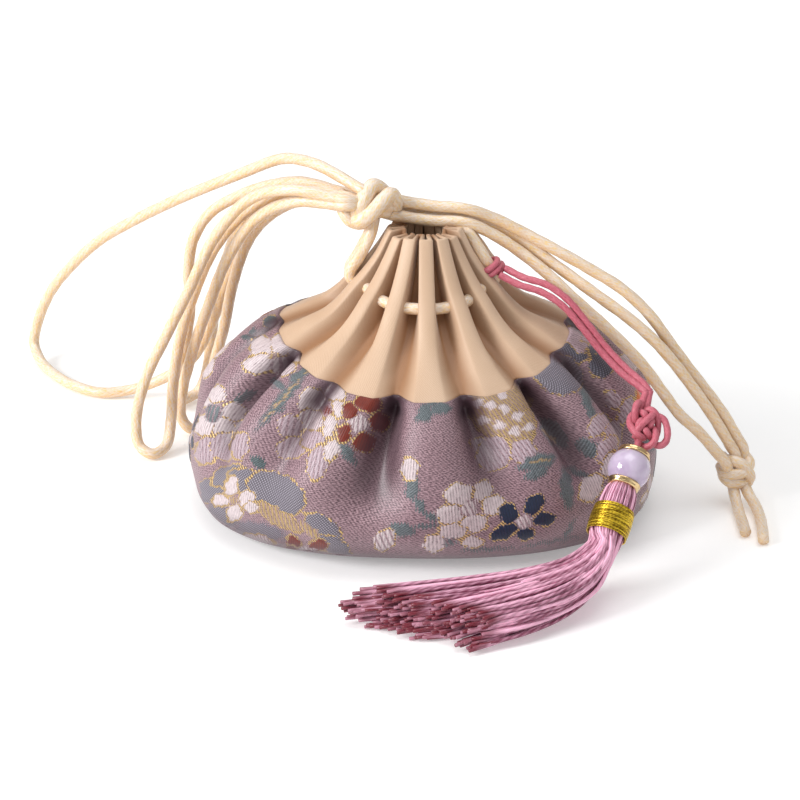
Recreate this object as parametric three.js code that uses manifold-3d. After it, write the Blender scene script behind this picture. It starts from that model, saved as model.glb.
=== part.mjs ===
// Embroidered sachet pouch: gathered brocade bag with a pleated satin collar, drawn shut by ivory
// cords, with a knotted pink hanger, a bead and a thread tassel. Millimetres, +Z up, floor at Z = 0,
// front of the pouch toward -Y.
import * as THREE from 'three';
import { mergeVertices } from 'three/addons/utils/BufferGeometryUtils.js';
import Module from 'manifold-3d';

const wasm = await Module();
wasm.setup();

// Driving sizes
const pleatCount = 14;
const seamHeight = 35.3;
const seamRise = 5;
const bodyWall = 1.2;
const collarWall = 1;
const seamGap = 0.4;
const cordDiameter = 2.4;
const drawRadius = 13.6;
const drawHeight = 47.9;
const drawRise = 1.6;
const eyeletClearance = 0.45;
const hangerDiameter = 1.5;
const hitchDiameter = 1.2;
const beadRadius = 4.3;
const beadBore = 1;
const stemDiameter = 1.3;
const capRadius = 2.7;
const capHeight = 1.5;
const neckRadius = 3.8;
const windingWall = 0.75;
const windingHeight = 6.2;
const pieceGap = 0.3;

// Colours of the cloth, cords and trimmings
const brocadeColour = 0xa58593;
const satinColour = 0xe0c09c;
const ivoryColour = 0xf0dcb4;
const pinkColour = 0xc9697f;
const threadColour = 0xc77f9d;
const gildColour = 0xd9b24a;
const lilacColour = 0xd8cbe2;

// Brocade body from the base edge to the seam: share of the seam height, half width and half depth
// of the outline, how square it is (2 is an ellipse), depth of the gathers, and the shares of a
// pleat taken by its ridge and by its valley
const bodySections = [
  { share: 0, wide: 41.5, deep: 26.4, square: 2.6, fold: 0, ridge: 0.25, valley: 0.25 },
  { share: 0.035, wide: 45, deep: 30.8, square: 2.5, fold: 0, ridge: 0.25, valley: 0.25 },
  { share: 0.1, wide: 47.1, deep: 34.8, square: 2.4, fold: 0, ridge: 0.25, valley: 0.25 },
  { share: 0.2, wide: 48.3, deep: 38, square: 2.3, fold: 0.1, ridge: 0.25, valley: 0.25 },
  { share: 0.38, wide: 48.75, deep: 40, square: 2.2, fold: 0.3, ridge: 0.26, valley: 0.24 },
  { share: 0.5, wide: 48.3, deep: 39.8, square: 2.15, fold: 0.8, ridge: 0.27, valley: 0.22 },
  { share: 0.634, wide: 46.6, deep: 39, square: 2.1, fold: 1.4, ridge: 0.3, valley: 0.2 },
  { share: 0.768, wide: 43, deep: 37, square: 2.05, fold: 1.9, ridge: 0.34, valley: 0.19 },
  { share: 0.882, wide: 38.4, deep: 34.4, square: 2, fold: 2, ridge: 0.38, valley: 0.18 },
  { share: 0.965, wide: 33.7, deep: 31.8, square: 2, fold: 1.6, ridge: 0.42, valley: 0.18 },
  { share: 1, wide: 30.7, deep: 30.2, square: 2, fold: 1.3, ridge: 0.44, valley: 0.19 },
];

// Satin collar from just above the seam to the mouth: height at the front, extra height at the sides,
// radius of the ridges, depth of the folds, pleat shares, and how far out a fold is open from inside
const collarSections = [
  { height: 38.6, rise: 4.1, wide: 26, fold: 2.4, ridge: 0.39, valley: 0.23, hollow: 25.4 },
  { height: 42.2, rise: 2.6, wide: 21, fold: 3.6, ridge: 0.39, valley: 0.27, hollow: 20.3 },
  { height: 45.3, rise: 1.9, wide: 18.2, fold: 5, ridge: 0.38, valley: 0.3, hollow: 17.3 },
  { height: 47.9, rise: 1.6, wide: 16, fold: 5.8, ridge: 0.376, valley: 0.33, hollow: 15 },
  { height: 51.2, rise: 1.2, wide: 13.2, fold: 4.6, ridge: 0.41, valley: 0.31, hollow: 11.6 },
  { height: 55.5, rise: 0.5, wide: 10.4, fold: 3.6, ridge: 0.48, valley: 0.26, hollow: 8 },
  { height: 60.4, rise: 0, wide: 7.8, fold: 2.6, ridge: 0.6, valley: 0.21, hollow: 5 },
];

// Each pleat from the front one round to the right: turn of its ridge off the even spacing in
// degrees, and how strongly the valley after it is drawn in
const pleats = [
  { turn: 1.5, swell: 1.25 },
  { turn: 4, swell: 1.1 },
  { turn: 1, swell: 0.9 },
  { turn: -4, swell: 0.8 },
  { turn: 0, swell: 0.9 },
  { turn: 1, swell: 1 },
  { turn: -1, swell: 1.1 },
  { turn: 2, swell: 0.9 },
  { turn: 0, swell: 1 },
  { turn: -1, swell: 1 },
  { turn: 1, swell: 0.8 },
  { turn: 2, swell: 1 },
  { turn: 0, swell: 1.2 },
  { turn: 0, swell: 1.3 },
];

const pitch = (2 * Math.PI) / pleatCount;

function bareGeometry(geometry) {
  const bare = new THREE.BufferGeometry();
  bare.setAttribute('position', geometry.getAttribute('position').clone());
  if (geometry.index) bare.setIndex(geometry.index.clone());
  const merged = mergeVertices(bare, 1e-4);
  const kept = [];
  const index = merged.index.array;
  for (let i = 0; i < index.length; i += 3) {
    const [a, b, c] = [index[i], index[i + 1], index[i + 2]];
    if (a !== b && b !== c && c !== a) kept.push(a, b, c);
  }
  merged.setIndex(kept);
  return merged;
}

function meshGeometry(points, triangles) {
  const geometry = new THREE.BufferGeometry();
  const flat = points.flatMap((p) => [p.x, p.y, p.z]);
  geometry.setAttribute('position', new THREE.Float32BufferAttribute(flat, 3));
  geometry.setIndex(triangles);
  return geometry;
}

function solidOf(geometry) {
  const bare = bareGeometry(geometry);
  return new wasm.Manifold(new wasm.Mesh({
    numProp: 3,
    vertProperties: new Float32Array(bare.getAttribute('position').array),
    triVerts: new Uint32Array(bare.index.array),
  }));
}

function geometryOf(solid) {
  const mesh = solid.getMesh();
  const geometry = new THREE.BufferGeometry();
  const stride = mesh.numProp;
  const flat = [];
  for (let i = 0; i < mesh.vertProperties.length; i += stride) {
    flat.push(mesh.vertProperties[i], mesh.vertProperties[i + 1], mesh.vertProperties[i + 2]);
  }
  geometry.setAttribute('position', new THREE.Float32BufferAttribute(flat, 3));
  geometry.setIndex(Array.from(mesh.triVerts));
  return geometry;
}

// Angle 0 is the front of the pouch and grows toward +X
function around(angle, { wide, deep, height, rise, square = 2 }) {
  const [across, ahead] = [Math.sin(angle), Math.cos(angle)];
  const x = wide * Math.sign(across) * Math.abs(across) ** (2 / square);
  const y = -deep * Math.sign(ahead) * Math.abs(ahead) ** (2 / square);
  return new THREE.Vector3(x, y, height + rise * across ** 4);
}

function ridgeAngle(k) {
  const turns = Math.floor(k / pleatCount);
  const pleat = pleats[k - turns * pleatCount];
  return k * pitch + THREE.MathUtils.degToRad(pleat.turn);
}

// Four points to a pleat: both edges of the ridge, then both edges of the valley
function pleatRing(row) {
  const { wide, deep, fold, ridge, valley, evenFolds } = row;
  const points = [];
  for (let k = 0; k < pleatCount; k += 1) {
    const crest = ridgeAngle(k);
    const trough = (crest + ridgeAngle(k + 1)) / 2;
    const depth = evenFolds ? fold : fold * pleats[k].swell;
    for (const side of [-1, 1]) {
      points.push(around(crest + side * ridge * pitch / 2, row));
    }
    const sunk = { ...row, wide: wide - depth, deep: deep - depth };
    for (const side of [-1, 1]) {
      points.push(around(trough + side * valley * pitch / 2, sunk));
    }
  }
  return points;
}

// Closed wall between two stacks of rings, with a flat base or an open lower edge
function wallGeometry(outerRings, innerRings, hasBase) {
  const count = outerRings[0].length;
  const rows = outerRings.length;
  const points = [...outerRings.flat(), ...innerRings.flat()];
  const triangles = [];
  const outer = (i, j) => i * count + (j % count);
  const inner = (i, j) => rows * count + i * count + (j % count);
  for (let j = 0; j < count; j += 1) {
    for (let i = 0; i < rows - 1; i += 1) {
      triangles.push(outer(i, j), outer(i, j + 1), outer(i + 1, j + 1));
      triangles.push(outer(i, j), outer(i + 1, j + 1), outer(i + 1, j));
      triangles.push(inner(i, j), inner(i + 1, j + 1), inner(i, j + 1));
      triangles.push(inner(i, j), inner(i + 1, j), inner(i + 1, j + 1));
    }
    const top = rows - 1;
    triangles.push(outer(top, j), outer(top, j + 1), inner(top, j + 1));
    triangles.push(outer(top, j), inner(top, j + 1), inner(top, j));
    if (hasBase) {
      triangles.push(points.length, outer(0, j + 1), outer(0, j));
      triangles.push(points.length + 1, inner(0, j), inner(0, j + 1));
    } else {
      triangles.push(outer(0, j), inner(0, j), inner(0, j + 1));
      triangles.push(outer(0, j), inner(0, j + 1), outer(0, j + 1));
    }
  }
  if (hasBase) {
    points.push(new THREE.Vector3(0, 0, 0), new THREE.Vector3(0, 0, innerRings[0][0].z));
  }
  return meshGeometry(points, triangles);
}

// Outward slope of a profile at row i, as the shares of wall thickness taken off radius and height
function slopeAt(rows, i) {
  const below = rows[Math.max(i - 1, 0)];
  const above = rows[Math.min(i + 1, rows.length - 1)];
  const run = above.wide - below.wide;
  const climb = above.height + above.rise / 2 - below.height - below.rise / 2;
  const size = Math.hypot(run, climb);
  return { inset: climb / size, drop: -run / size };
}

const bodyRows = bodySections.map((row) => ({
  ...row,
  height: row.share * seamHeight,
  rise: row.share * seamRise,
}));

function bodyGeometry() {
  const outerRings = bodyRows.map((row) => pleatRing(row));
  const innerRings = bodyRows.map((row, i) => {
    const { inset, drop } = slopeAt(bodyRows, i);
    const height = Math.max(row.height - bodyWall * drop, bodyWall);
    const rim = i === 0 ? 0.6 * bodyWall : bodyWall * inset;
    return pleatRing({ ...row, wide: row.wide - rim, deep: row.deep - rim, height });
  });
  return wallGeometry(outerRings, innerRings, true);
}

// The collar starts a small gap up its own slope from the body's upper edge
function collarRows() {
  const seam = bodyRows[bodyRows.length - 1];
  const first = collarSections[0];
  const share = seamGap / Math.hypot(seam.wide - first.wide, first.height - seam.height);
  const mix = (a, b) => a + (b - a) * share;
  const start = {
    height: mix(seam.height, first.height),
    rise: mix(seam.rise, first.rise),
    wide: mix(seam.wide, first.wide),
    deep: mix(seam.deep, first.wide),
    fold: mix(seam.fold, first.fold),
    ridge: mix(seam.ridge, first.ridge),
    valley: mix(seam.valley, first.valley),
  };
  return [start, ...collarSections.map((row) => ({ ...row, deep: row.wide, evenFolds: true }))];
}

function collarGeometry() {
  const rows = collarRows();
  const outerRings = rows.map((row) => pleatRing(row));
  const innerRings = rows.map((row, i) => {
    const { inset, drop } = i === rows.length - 1 ? { inset: 1, drop: 0 } : slopeAt(rows, i);
    if (i === 0) {
      const rim = collarWall * inset;
      const height = row.height - collarWall * drop;
      return pleatRing({ ...row, wide: row.wide - rim, deep: row.deep - rim, height });
    }
    const trough = row.wide - row.fold - collarWall * inset;
    const arm = (row.wide - row.fold) * pitch * (1 - row.valley) / 2 - collarWall;
    const slot = Math.max(arm, 0.15);
    const crest = Math.max(row.wide * pitch * row.ridge / 2 - collarWall, 0.12);
    return pleatRing({
      ...row,
      wide: row.hollow,
      deep: row.hollow,
      fold: row.hollow - trough,
      height: row.height - collarWall * drop,
      ridge: (2 * crest) / (row.hollow * pitch),
      valley: 1 - (2 * slot) / (trough * pitch),
    });
  });
  const pleated = solidOf(wallGeometry(outerRings, innerRings, false));
  const eyelets = solidOf(closedTube(drawCurve, cordDiameter + 2 * eyeletClearance, 28, 6));
  return geometryOf(pleated.subtract(eyelets));
}

// Round cord that closes on itself
function closedTube(curve, diameter, steps, sides) {
  const frames = curve.computeFrenetFrames(steps, true);
  const points = [];
  const triangles = [];
  for (let i = 0; i < steps; i += 1) {
    const centre = curve.getPointAt(i / steps);
    for (let j = 0; j < sides; j += 1) {
      const angle = (2 * Math.PI * (j + 0.5)) / sides;
      const point = centre.clone();
      point.addScaledVector(frames.normals[i], Math.cos(angle) * diameter / 2);
      point.addScaledVector(frames.binormals[i], Math.sin(angle) * diameter / 2);
      points.push(point);
      const [a, b] = [i * sides + j, i * sides + ((j + 1) % sides)];
      const next = ((i + 1) % steps) * sides;
      const [c, d] = [next + j, next + ((j + 1) % sides)];
      triangles.push(a, b, d, a, d, c);
    }
  }
  return meshGeometry(points, triangles);
}

// Round cord along a route of points
function cordGeometry(route, diameter, steps) {
  const section = [];
  for (let j = 0; j < 8; j += 1) {
    const angle = (Math.PI * (j + 0.5)) / 4;
    section.push(new THREE.Vector2(Math.cos(angle), Math.sin(angle)).multiplyScalar(diameter / 2));
  }
  const path = new THREE.CatmullRomCurve3(route.map((p) => new THREE.Vector3(...p)));
  return new THREE.ExtrudeGeometry(new THREE.Shape(section), {
    steps,
    extrudePath: path,
    bevelEnabled: false,
  });
}

class DrawRing extends THREE.Curve {
  getPoint(t) {
    return around(2 * Math.PI * t, {
      wide: drawRadius,
      deep: drawRadius,
      height: drawHeight,
      rise: drawRise,
    });
  }
}

// Flat interlaced knot: strands cross over and under on their way round the middle
class InterlacedKnot extends THREE.Curve {
  constructor({ leads, bights, radius, swing, lift, long = 1 }) {
    super();
    Object.assign(this, { leads, bights, radius, swing, lift, long });
  }

  getPoint(t) {
    const angle = 2 * Math.PI * this.leads * t;
    const phase = (angle * this.bights) / this.leads;
    const reach = this.radius + this.swing * Math.cos(phase);
    return new THREE.Vector3(
      reach * Math.cos(angle),
      this.long * reach * Math.sin(angle),
      this.lift * Math.sin((this.leads - 1) * phase),
    );
  }
}

const drawCurve = new DrawRing();

// Places a piece drawn about +Z so that +Z follows the given way and +Y stays as near up as it can
function place(geometry, centre, way, up) {
  const forward = way.clone().normalize();
  const right = new THREE.Vector3().crossVectors(up, forward).normalize();
  const level = new THREE.Vector3().crossVectors(forward, right);
  const turn = new THREE.Matrix4().makeBasis(right, level, forward);
  turn.setPosition(centre);
  return geometry.applyMatrix4(turn);
}

const upward = new THREE.Vector3(0, 0, 1);
const viewWay = new THREE.Vector3(0, -0.906, 0.423);

// Hanging line of the charm: middle of the bead and the way down through the tassel
const beadCentre = new THREE.Vector3(40.6, -30.5, 21);
const charmWay = new THREE.Vector3(-0.33, -0.72, -0.61).normalize();

function alongCharm(distance) {
  return beadCentre.clone().addScaledVector(charmWay, distance);
}

function turned(profile, sides, distance) {
  const lathe = new THREE.LatheGeometry(profile.map(([r, h]) => new THREE.Vector2(r, h)), sides);
  lathe.rotateX(Math.PI / 2);
  return bareGeometry(place(lathe, alongCharm(distance), charmWay, upward));
}

function beadGeometry() {
  const profile = [];
  const rows = 8;
  const edge = Math.asin(beadBore / beadRadius);
  for (let i = 0; i <= rows; i += 1) {
    const angle = edge + ((Math.PI - 2 * edge) * i) / rows;
    profile.push([beadRadius * Math.sin(angle), -beadRadius * Math.cos(angle)]);
  }
  profile.push(profile[0]);
  return turned(profile, 14, 0);
}

// Shallow cap with its wide lip against the bead
function capGeometry(side) {
  const lip = Math.sqrt(beadRadius ** 2 - capRadius ** 2) + pieceGap + 0.1;
  const crown = beadRadius + pieceGap;
  const profile = [
    [beadBore, crown],
    [capRadius, lip],
    [capRadius, lip + 0.7],
    [capRadius * 0.7, crown + capHeight],
    [beadBore, crown + capHeight],
    [beadBore, crown],
  ];
  const mirrored = profile.map(([r, h]) => [r, side * h]);
  return turned(side > 0 ? mirrored : mirrored.reverse(), 14, 0);
}

const headTop = beadRadius + capHeight + 3 * pieceGap;
const windingTop = headTop + 2.4;

function windingGeometry() {
  const inner = neckRadius + pieceGap;
  const outer = inner + windingWall;
  const end = windingTop + windingHeight;
  const profile = [
    [inner, windingTop],
    [outer, windingTop + 0.4],
    [outer + 0.15, (windingTop + end) / 2],
    [outer, end - 0.4],
    [inner, end],
    [inner, windingTop],
  ];
  return turned(profile, 16, 0);
}

// Middle line of the tassel's skirt from the neck to the tips, with its half width and half depth
const skirtLine = [
  { x: 36.1, y: -40.3, z: 12.8, spread: 2.6, thick: 2.6 },
  { x: 34.3, y: -44.1, z: 9.5, spread: 3.6, thick: 3.3 },
  { x: 30, y: -48.6, z: 6.6, spread: 4.8, thick: 3.9 },
  { x: 22.6, y: -52.8, z: 5.1, spread: 6.6, thick: 4.3 },
  { x: 13, y: -56.4, z: 4.5, spread: 8.8, thick: 4.2 },
  { x: 4.4, y: -58.8, z: 4.2, spread: 10.6, thick: 4 },
  { x: -2, y: -60.4, z: 4, spread: 12, thick: 3.7 },
];

// Locks of the skirt: place across it, layer, and how far the tip reaches past the middle line
const locks = [
  { across: -0.74, layer: -1, reach: 6.5 },
  { across: -0.37, layer: -1, reach: 5 },
  { across: 0, layer: -1, reach: -0.5 },
  { across: 0.37, layer: -1, reach: -3 },
  { across: 0.74, layer: -1, reach: -8 },
  { across: -0.56, layer: 1, reach: 6 },
  { across: -0.19, layer: 1, reach: 1 },
  { across: 0.19, layer: 1, reach: -1 },
  { across: 0.56, layer: 1, reach: -7 },
];

const skirtAcross = new THREE.Vector3(0.49, -0.872, 0);
const skirtAlong = new THREE.Vector3(-0.872, -0.49, 0);

function lockGeometry({ across, layer, reach }) {
  const sides = 6;
  const points = [];
  const triangles = [];
  skirtLine.forEach(({ x, y, z, spread, thick }, i) => {
    const centre = new THREE.Vector3(x, y, z).addScaledVector(skirtAcross, across * spread);
    centre.z += layer * thick * 0.32;
    centre.addScaledVector(skirtAlong, reach * (i / (skirtLine.length - 1)) ** 2);
    for (let j = 0; j < sides; j += 1) {
      const angle = (2 * Math.PI * j) / sides;
      const point = centre.clone().addScaledVector(skirtAcross, Math.cos(angle) * spread * 0.26);
      point.z += Math.sin(angle) * thick * 0.76;
      points.push(point);
      if (i === 0) continue;
      const [a, b] = [(i - 1) * sides + j, (i - 1) * sides + ((j + 1) % sides)];
      triangles.push(a, b, b + sides, a, b + sides, a + sides);
    }
  });
  const last = points.length - sides;
  for (let j = 1; j < sides - 1; j += 1) {
    triangles.push(0, j + 1, j);
    triangles.push(last, last + j, last + j + 1);
  }
  return meshGeometry(points, triangles);
}

function tasselGeometry() {
  const end = windingTop + windingHeight + 1.2;
  const head = turned([
    [0, headTop],
    [2.2, headTop + 0.2],
    [3.7, headTop + 1.2],
    [neckRadius, windingTop],
    [neckRadius, end - 1],
    [neckRadius - 0.5, end],
    [0, end],
  ], 16, 0);
  const strands = locks.map((lock) => solidOf(lockGeometry(lock)));
  const fused = strands.reduce((whole, strand) => whole.add(strand), solidOf(head));
  return geometryOf(fused);
}

// Free cords: route in millimetres, diameter and steps along the route
const cordRoutes = {
  loop_big: {
    steps: 26,
    route: [
      [-17.3, 1.6, 68.2], [-21.5, 6, 69.6], [-28.8, 16, 69.6], [-38.8, 27, 62], [-52.4, 38, 52.3],
      [-63, 46.5, 44], [-72, 54, 36], [-79.5, 60.5, 27], [-85, 65.5, 18.6], [-88.6, 68.6, 10],
      [-89.8, 69, 4.4], [-88, 65, 1.8], [-84, 58, 1.4], [-79, 52, 1.4], [-72.5, 48.2, 1.4],
      [-65.5, 48.2, 2.2], [-58, 47, 5.6], [-51.5, 43.6, 11.8], [-46.8, 39, 20.6],
      [-43.2, 34, 30.4], [-39.6, 29, 40], [-35.4, 23, 49.4], [-29.9, 15.8, 57.8], [-24, 10, 62],
      [-17.3, 5.4, 63],
    ],
  },
  loop_front: {
    steps: 22,
    route: [
      [-17.3, -1.4, 65.6], [-27.4, 2, 66.6], [-35.8, 8, 63.2], [-43.6, 13.5, 53], [-49.6, 17, 39.6],
      [-55, 19, 28], [-59.6, 20, 18], [-62, 19.6, 8.5], [-61.4, 17.6, 3], [-58.6, 16.4, 1.5],
      [-55.8, 19, 2.2], [-54.8, 23, 6.6], [-54.4, 25.4, 13], [-52.6, 25.4, 24], [-49, 23.6, 36],
      [-44, 20.4, 48], [-37, 15.4, 57], [-29, 9, 62.4], [-22, 4.2, 65], [-17.3, 1.6, 65.4],
    ],
  },
  loop_side: {
    steps: 21,
    route: [
      [-17.3, -1.6, 62.8], [-26, 2.4, 61.6], [-34, 9.4, 56.6], [-40.6, 16.6, 47.6],
      [-45.8, 22.6, 34], [-50.2, 27.6, 20], [-52.8, 29.8, 9.5], [-53, 29.4, 4], [-51, 29, 1.5],
      [-48.6, 31, 2], [-47.2, 34.4, 6.4], [-46, 35.6, 14], [-43.4, 32.6, 24], [-41, 28.4, 34],
      [-37.6, 23.2, 44], [-33.2, 17.4, 52], [-27.6, 11.4, 57.8], [-23, 5.4, 60.2], [-17.3, 1.5, 62],
    ],
  },
  loop_back: {
    steps: 22,
    route: [
      [-17.3, 5.2, 66.4], [-25, 12.2, 65.8], [-32, 18.8, 62.6], [-39, 24.6, 58], [-45.6, 28.4, 52.4],
      [-49.4, 30.4, 45.4], [-50.6, 31.4, 38], [-50.6, 32.8, 29], [-52.4, 35, 18], [-54.6, 37.4, 8],
      [-55, 40.6, 2.8], [-53.2, 44.4, 1.6], [-50.4, 46.8, 2.4], [-48.6, 47.2, 6.6], [-47.4, 46, 14],
      [-45.6, 42.6, 26], [-43.4, 38, 36], [-40, 32, 46], [-35, 25.4, 54.6], [-28, 18, 61],
      [-22.6, 12.8, 63.6], [-17.3, 9, 64],
    ],
  },
  strand_low: {
    steps: 15,
    route: [
      [-5, 5, 62.7], [1.2, 5.2, 62], [8.5, 5, 62], [14, 4.2, 60.2], [19.5, 2.6, 56.4],
      [25, 0.4, 50.9], [30.4, -2.2, 46], [36, -4.4, 41.5], [40.8, -6, 37.2], [45, -6.6, 32.6],
      [48.9, -6.4, 27], [52.8, -5.8, 21.4], [57, -5.2, 16.2], [61.4, -4.6, 11],
    ],
  },
  strand_mid: {
    steps: 15,
    route: [
      [-5, 7.8, 62.9], [1.2, 8, 62.2], [8.5, 7.8, 62.2], [14.4, 7, 61], [19.9, 5.4, 58.2],
      [25.8, 3.2, 53.4], [31.2, 1.2, 48.8], [36.6, -0.6, 44.4], [41.8, -2, 39.9],
      [46.8, -2.8, 34.7], [51.2, -3, 28.9], [55.4, -2.8, 23], [59.4, -2.3, 17.6], [63.9, -1.9, 11.9],
    ],
  },
  strand_high: {
    steps: 15,
    route: [
      [-5, 6.4, 65.5], [1.2, 6.6, 64.8], [8.5, 6.4, 64.8], [14.4, 6, 63.6], [20.6, 4.8, 61],
      [27.2, 3.6, 57], [34, 2.6, 52.6], [40.6, 1.6, 47.4], [46.2, 0.8, 41.2], [50.8, 0.4, 34.8],
      [55, 0.2, 28.4], [59.2, 0.4, 22.4], [63.2, 0.8, 16.8], [66, 0.5, 11.8],
    ],
  },
  riser_left_front: { steps: 3, route: [[-16.6, -1.45, 51.2], [-13.8, -1.45, 55.2], [-11, -1.4, 60.4]] },
  riser_left_back: { steps: 3, route: [[-16.6, 1.45, 51.2], [-13.8, 1.45, 55.2], [-11, 1.5, 60.4]] },
  riser_right_front: { steps: 3, route: [[16.6, -1.7, 51.2], [14.1, -1.5, 55], [11.2, 1, 58.8]] },
  riser_right_back: { steps: 3, route: [[16.4, 3, 51.2], [13.8, 3.4, 55], [11.2, 4.6, 58.2]] },
  tail_left: { steps: 3, route: [[65, -5.6, 3], [65.4, -10.2, 1.6], [65.7, -15.4, 1.4], [65.9, -20, 1.4]] },
  tail_right: { steps: 3, route: [[67.8, -5.4, 3.2], [69.3, -10, 1.7], [69.6, -16.6, 1.4], [69.2, -23.4, 1.4]] },
};

// Doubled pink hanger from the hitch to the charm knot
const hangerRoutes = {
  hanger_front: [
    [17.2, -3.9, 52.2], [21.2, -5.8, 49.9], [26.4, -8, 46.4], [31.4, -10, 42.6],
    [36.8, -12.8, 38.2], [41.4, -15.8, 34.4], [44, -18, 32],
  ],
  hanger_back: [
    [18.4, -1.9, 53], [23, -3.5, 50.6], [28, -5.6, 47.4], [33.2, -7.8, 43.4],
    [38.8, -10.8, 38.6], [43.6, -14.2, 34.6], [46.4, -17.4, 32],
  ],
};

const mainKnot = new InterlacedKnot({ leads: 2, bights: 3, radius: 3, swing: 1.5, lift: 1.5 });
const endKnot = new InterlacedKnot({ leads: 2, bights: 3, radius: 2.4, swing: 1.2, lift: 1.2 });
const charmKnot = new InterlacedKnot({ leads: 3, bights: 5, radius: 3, swing: 1.5, lift: 1.05 });

// The hitch goes round the outer side of the front right riser
function hitchRoute() {
  const centre = new THREE.Vector3(15.4, -1.6, 53.1);
  const outward = new THREE.Vector3(0.84, 0, 0.54);
  const points = [];
  for (let degrees = -115; degrees <= 115; degrees += 38.333) {
    const angle = THREE.MathUtils.degToRad(degrees);
    const point = centre.clone().addScaledVector(outward, 2.15 * Math.cos(angle));
    point.y += 2.15 * Math.sin(angle);
    points.push(point.toArray());
  }
  return points;
}

const group = new THREE.Group();

function addPiece(name, geometry, colour, finish = {}) {
  const material = new THREE.MeshStandardMaterial({ color: colour, roughness: 0.7, ...finish });
  const mesh = new THREE.Mesh(geometry, material);
  mesh.name = name;
  group.add(mesh);
}

addPiece('pouch_body', bodyGeometry(), brocadeColour);
addPiece('collar', collarGeometry(), satinColour, { roughness: 0.5 });
addPiece('draw_cord', closedTube(drawCurve, cordDiameter, 28, 8), ivoryColour);

const mainKnotTube = closedTube(mainKnot, 2.7, 27, 6);
addPiece('main_knot', place(mainKnotTube, new THREE.Vector3(-11.2, 1.5, 66.4), viewWay, upward), ivoryColour);
const endKnotTube = closedTube(endKnot, 2.1, 24, 6);
addPiece('end_knot', place(endKnotTube, new THREE.Vector3(65.4, -2.2, 7.2), viewWay, upward), ivoryColour);

for (const [name, { route, steps }] of Object.entries(cordRoutes)) {
  addPiece(name, cordGeometry(route, cordDiameter, steps), ivoryColour);
}
for (const [name, route] of Object.entries(hangerRoutes)) {
  addPiece(name, cordGeometry(route, hangerDiameter, 7), pinkColour);
}

addPiece('hanger_hitch', cordGeometry(hitchRoute(), hitchDiameter, 7), pinkColour);

const charmKnotTube = closedTube(charmKnot, 1.4, 45, 6);
const charmFace = viewWay.clone().addScaledVector(charmWay, -viewWay.dot(charmWay));
addPiece('charm_knot', place(charmKnotTube, alongCharm(-11.6), charmFace, upward), pinkColour);

addPiece('bead_cap_upper', capGeometry(-1), gildColour, { metalness: 1, roughness: 0.25 });
addPiece('bead', beadGeometry(), lilacColour, { roughness: 0.15 });
addPiece('bead_cap_lower', capGeometry(1), gildColour, { metalness: 1, roughness: 0.25 });

const stemEnds = [alongCharm(-6.5).toArray(), alongCharm(headTop - pieceGap).toArray()];
addPiece('tassel_stem', cordGeometry(stemEnds, stemDiameter, 1), pinkColour);
addPiece('tassel', tasselGeometry(), threadColour);
addPiece('tassel_winding', windingGeometry(), gildColour, { metalness: 0.8, roughness: 0.4 });

export default group;
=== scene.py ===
import math

import bpy
import numpy as np
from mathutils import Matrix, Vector


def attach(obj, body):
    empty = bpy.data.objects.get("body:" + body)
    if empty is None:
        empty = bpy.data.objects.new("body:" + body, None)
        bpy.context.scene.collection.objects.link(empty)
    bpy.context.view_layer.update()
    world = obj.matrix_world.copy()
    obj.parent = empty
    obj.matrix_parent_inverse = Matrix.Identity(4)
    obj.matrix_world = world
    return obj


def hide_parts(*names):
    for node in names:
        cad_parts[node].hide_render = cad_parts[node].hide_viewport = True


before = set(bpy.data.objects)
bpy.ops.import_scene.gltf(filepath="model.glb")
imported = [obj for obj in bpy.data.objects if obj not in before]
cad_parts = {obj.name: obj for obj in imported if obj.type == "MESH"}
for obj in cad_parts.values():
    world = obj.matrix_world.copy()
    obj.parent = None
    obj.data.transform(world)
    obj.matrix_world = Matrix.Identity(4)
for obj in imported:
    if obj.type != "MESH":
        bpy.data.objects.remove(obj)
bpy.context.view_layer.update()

mm = 0.001
turnFull = 2 * math.pi

# routes: steps in a span, fewest steps, a way that none starts along, dome of a cut end as a share of its radius
spanSteps = 24
fewestSteps = 4
startSide = (0.3, 0.2, 1.0)
endDome = 0.25

# camera where the photograph was taken from, millimetres and degrees, and squares across its picture
photoView = {
    "target": (-5, 0, 22),
    "elevation": 25,
    "distance": 620,
    "lens": 133.92,
    "sensor": 36,
    "squares": 800,
    "nearest": 10,
}


def placeCamera():
    lens = bpy.data.cameras.new("photoCamera")
    lens.lens = photoView["lens"]
    lens.sensor_width = photoView["sensor"]
    lens.clip_start = photoView["nearest"] * mm
    camera = bpy.data.objects.new("photoCamera", lens)
    tilt = math.radians(photoView["elevation"])
    away = Vector((0, -math.cos(tilt), math.sin(tilt))) * photoView["distance"]
    camera.location = (Vector(photoView["target"]) + away) * mm
    camera.rotation_euler = (math.pi / 2 - tilt, 0, 0)
    bpy.context.scene.collection.objects.link(camera)
    bpy.context.scene.camera = camera


# mesh helpers, all in millimetres until the mesh is made
def gridFaces(rows, columns):
    i, j = np.meshgrid(np.arange(rows - 1), np.arange(columns), indexing="ij")
    k = (j + 1) % columns
    near, far = i * columns, (i + 1) * columns
    return np.stack([near + j, near + k, far + k, far + j], -1).reshape(-1, 4)


def gridLay(along, around, rows, columns):
    # corner coordinates that don't jump where the columns meet
    i, j = np.meshgrid(np.arange(rows - 1), np.arange(columns), indexing="ij")
    corners = [(i, j), (i, j + 1), (i + 1, j + 1), (i + 1, j)]
    return np.stack([np.stack([along(a, b), around(a, b)], -1) for a, b in corners], -2).reshape(-1, 4, 2)


def fanFaces(middle, start, sides, flip=False):
    # triangles from a middle point to the ring of points that begins at start
    j = np.arange(sides)
    k = (j + 1) % sides
    first, second = (k, j) if flip else (j, k)
    return np.stack([np.full(sides, middle), start + first, start + second], -1)


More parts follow.
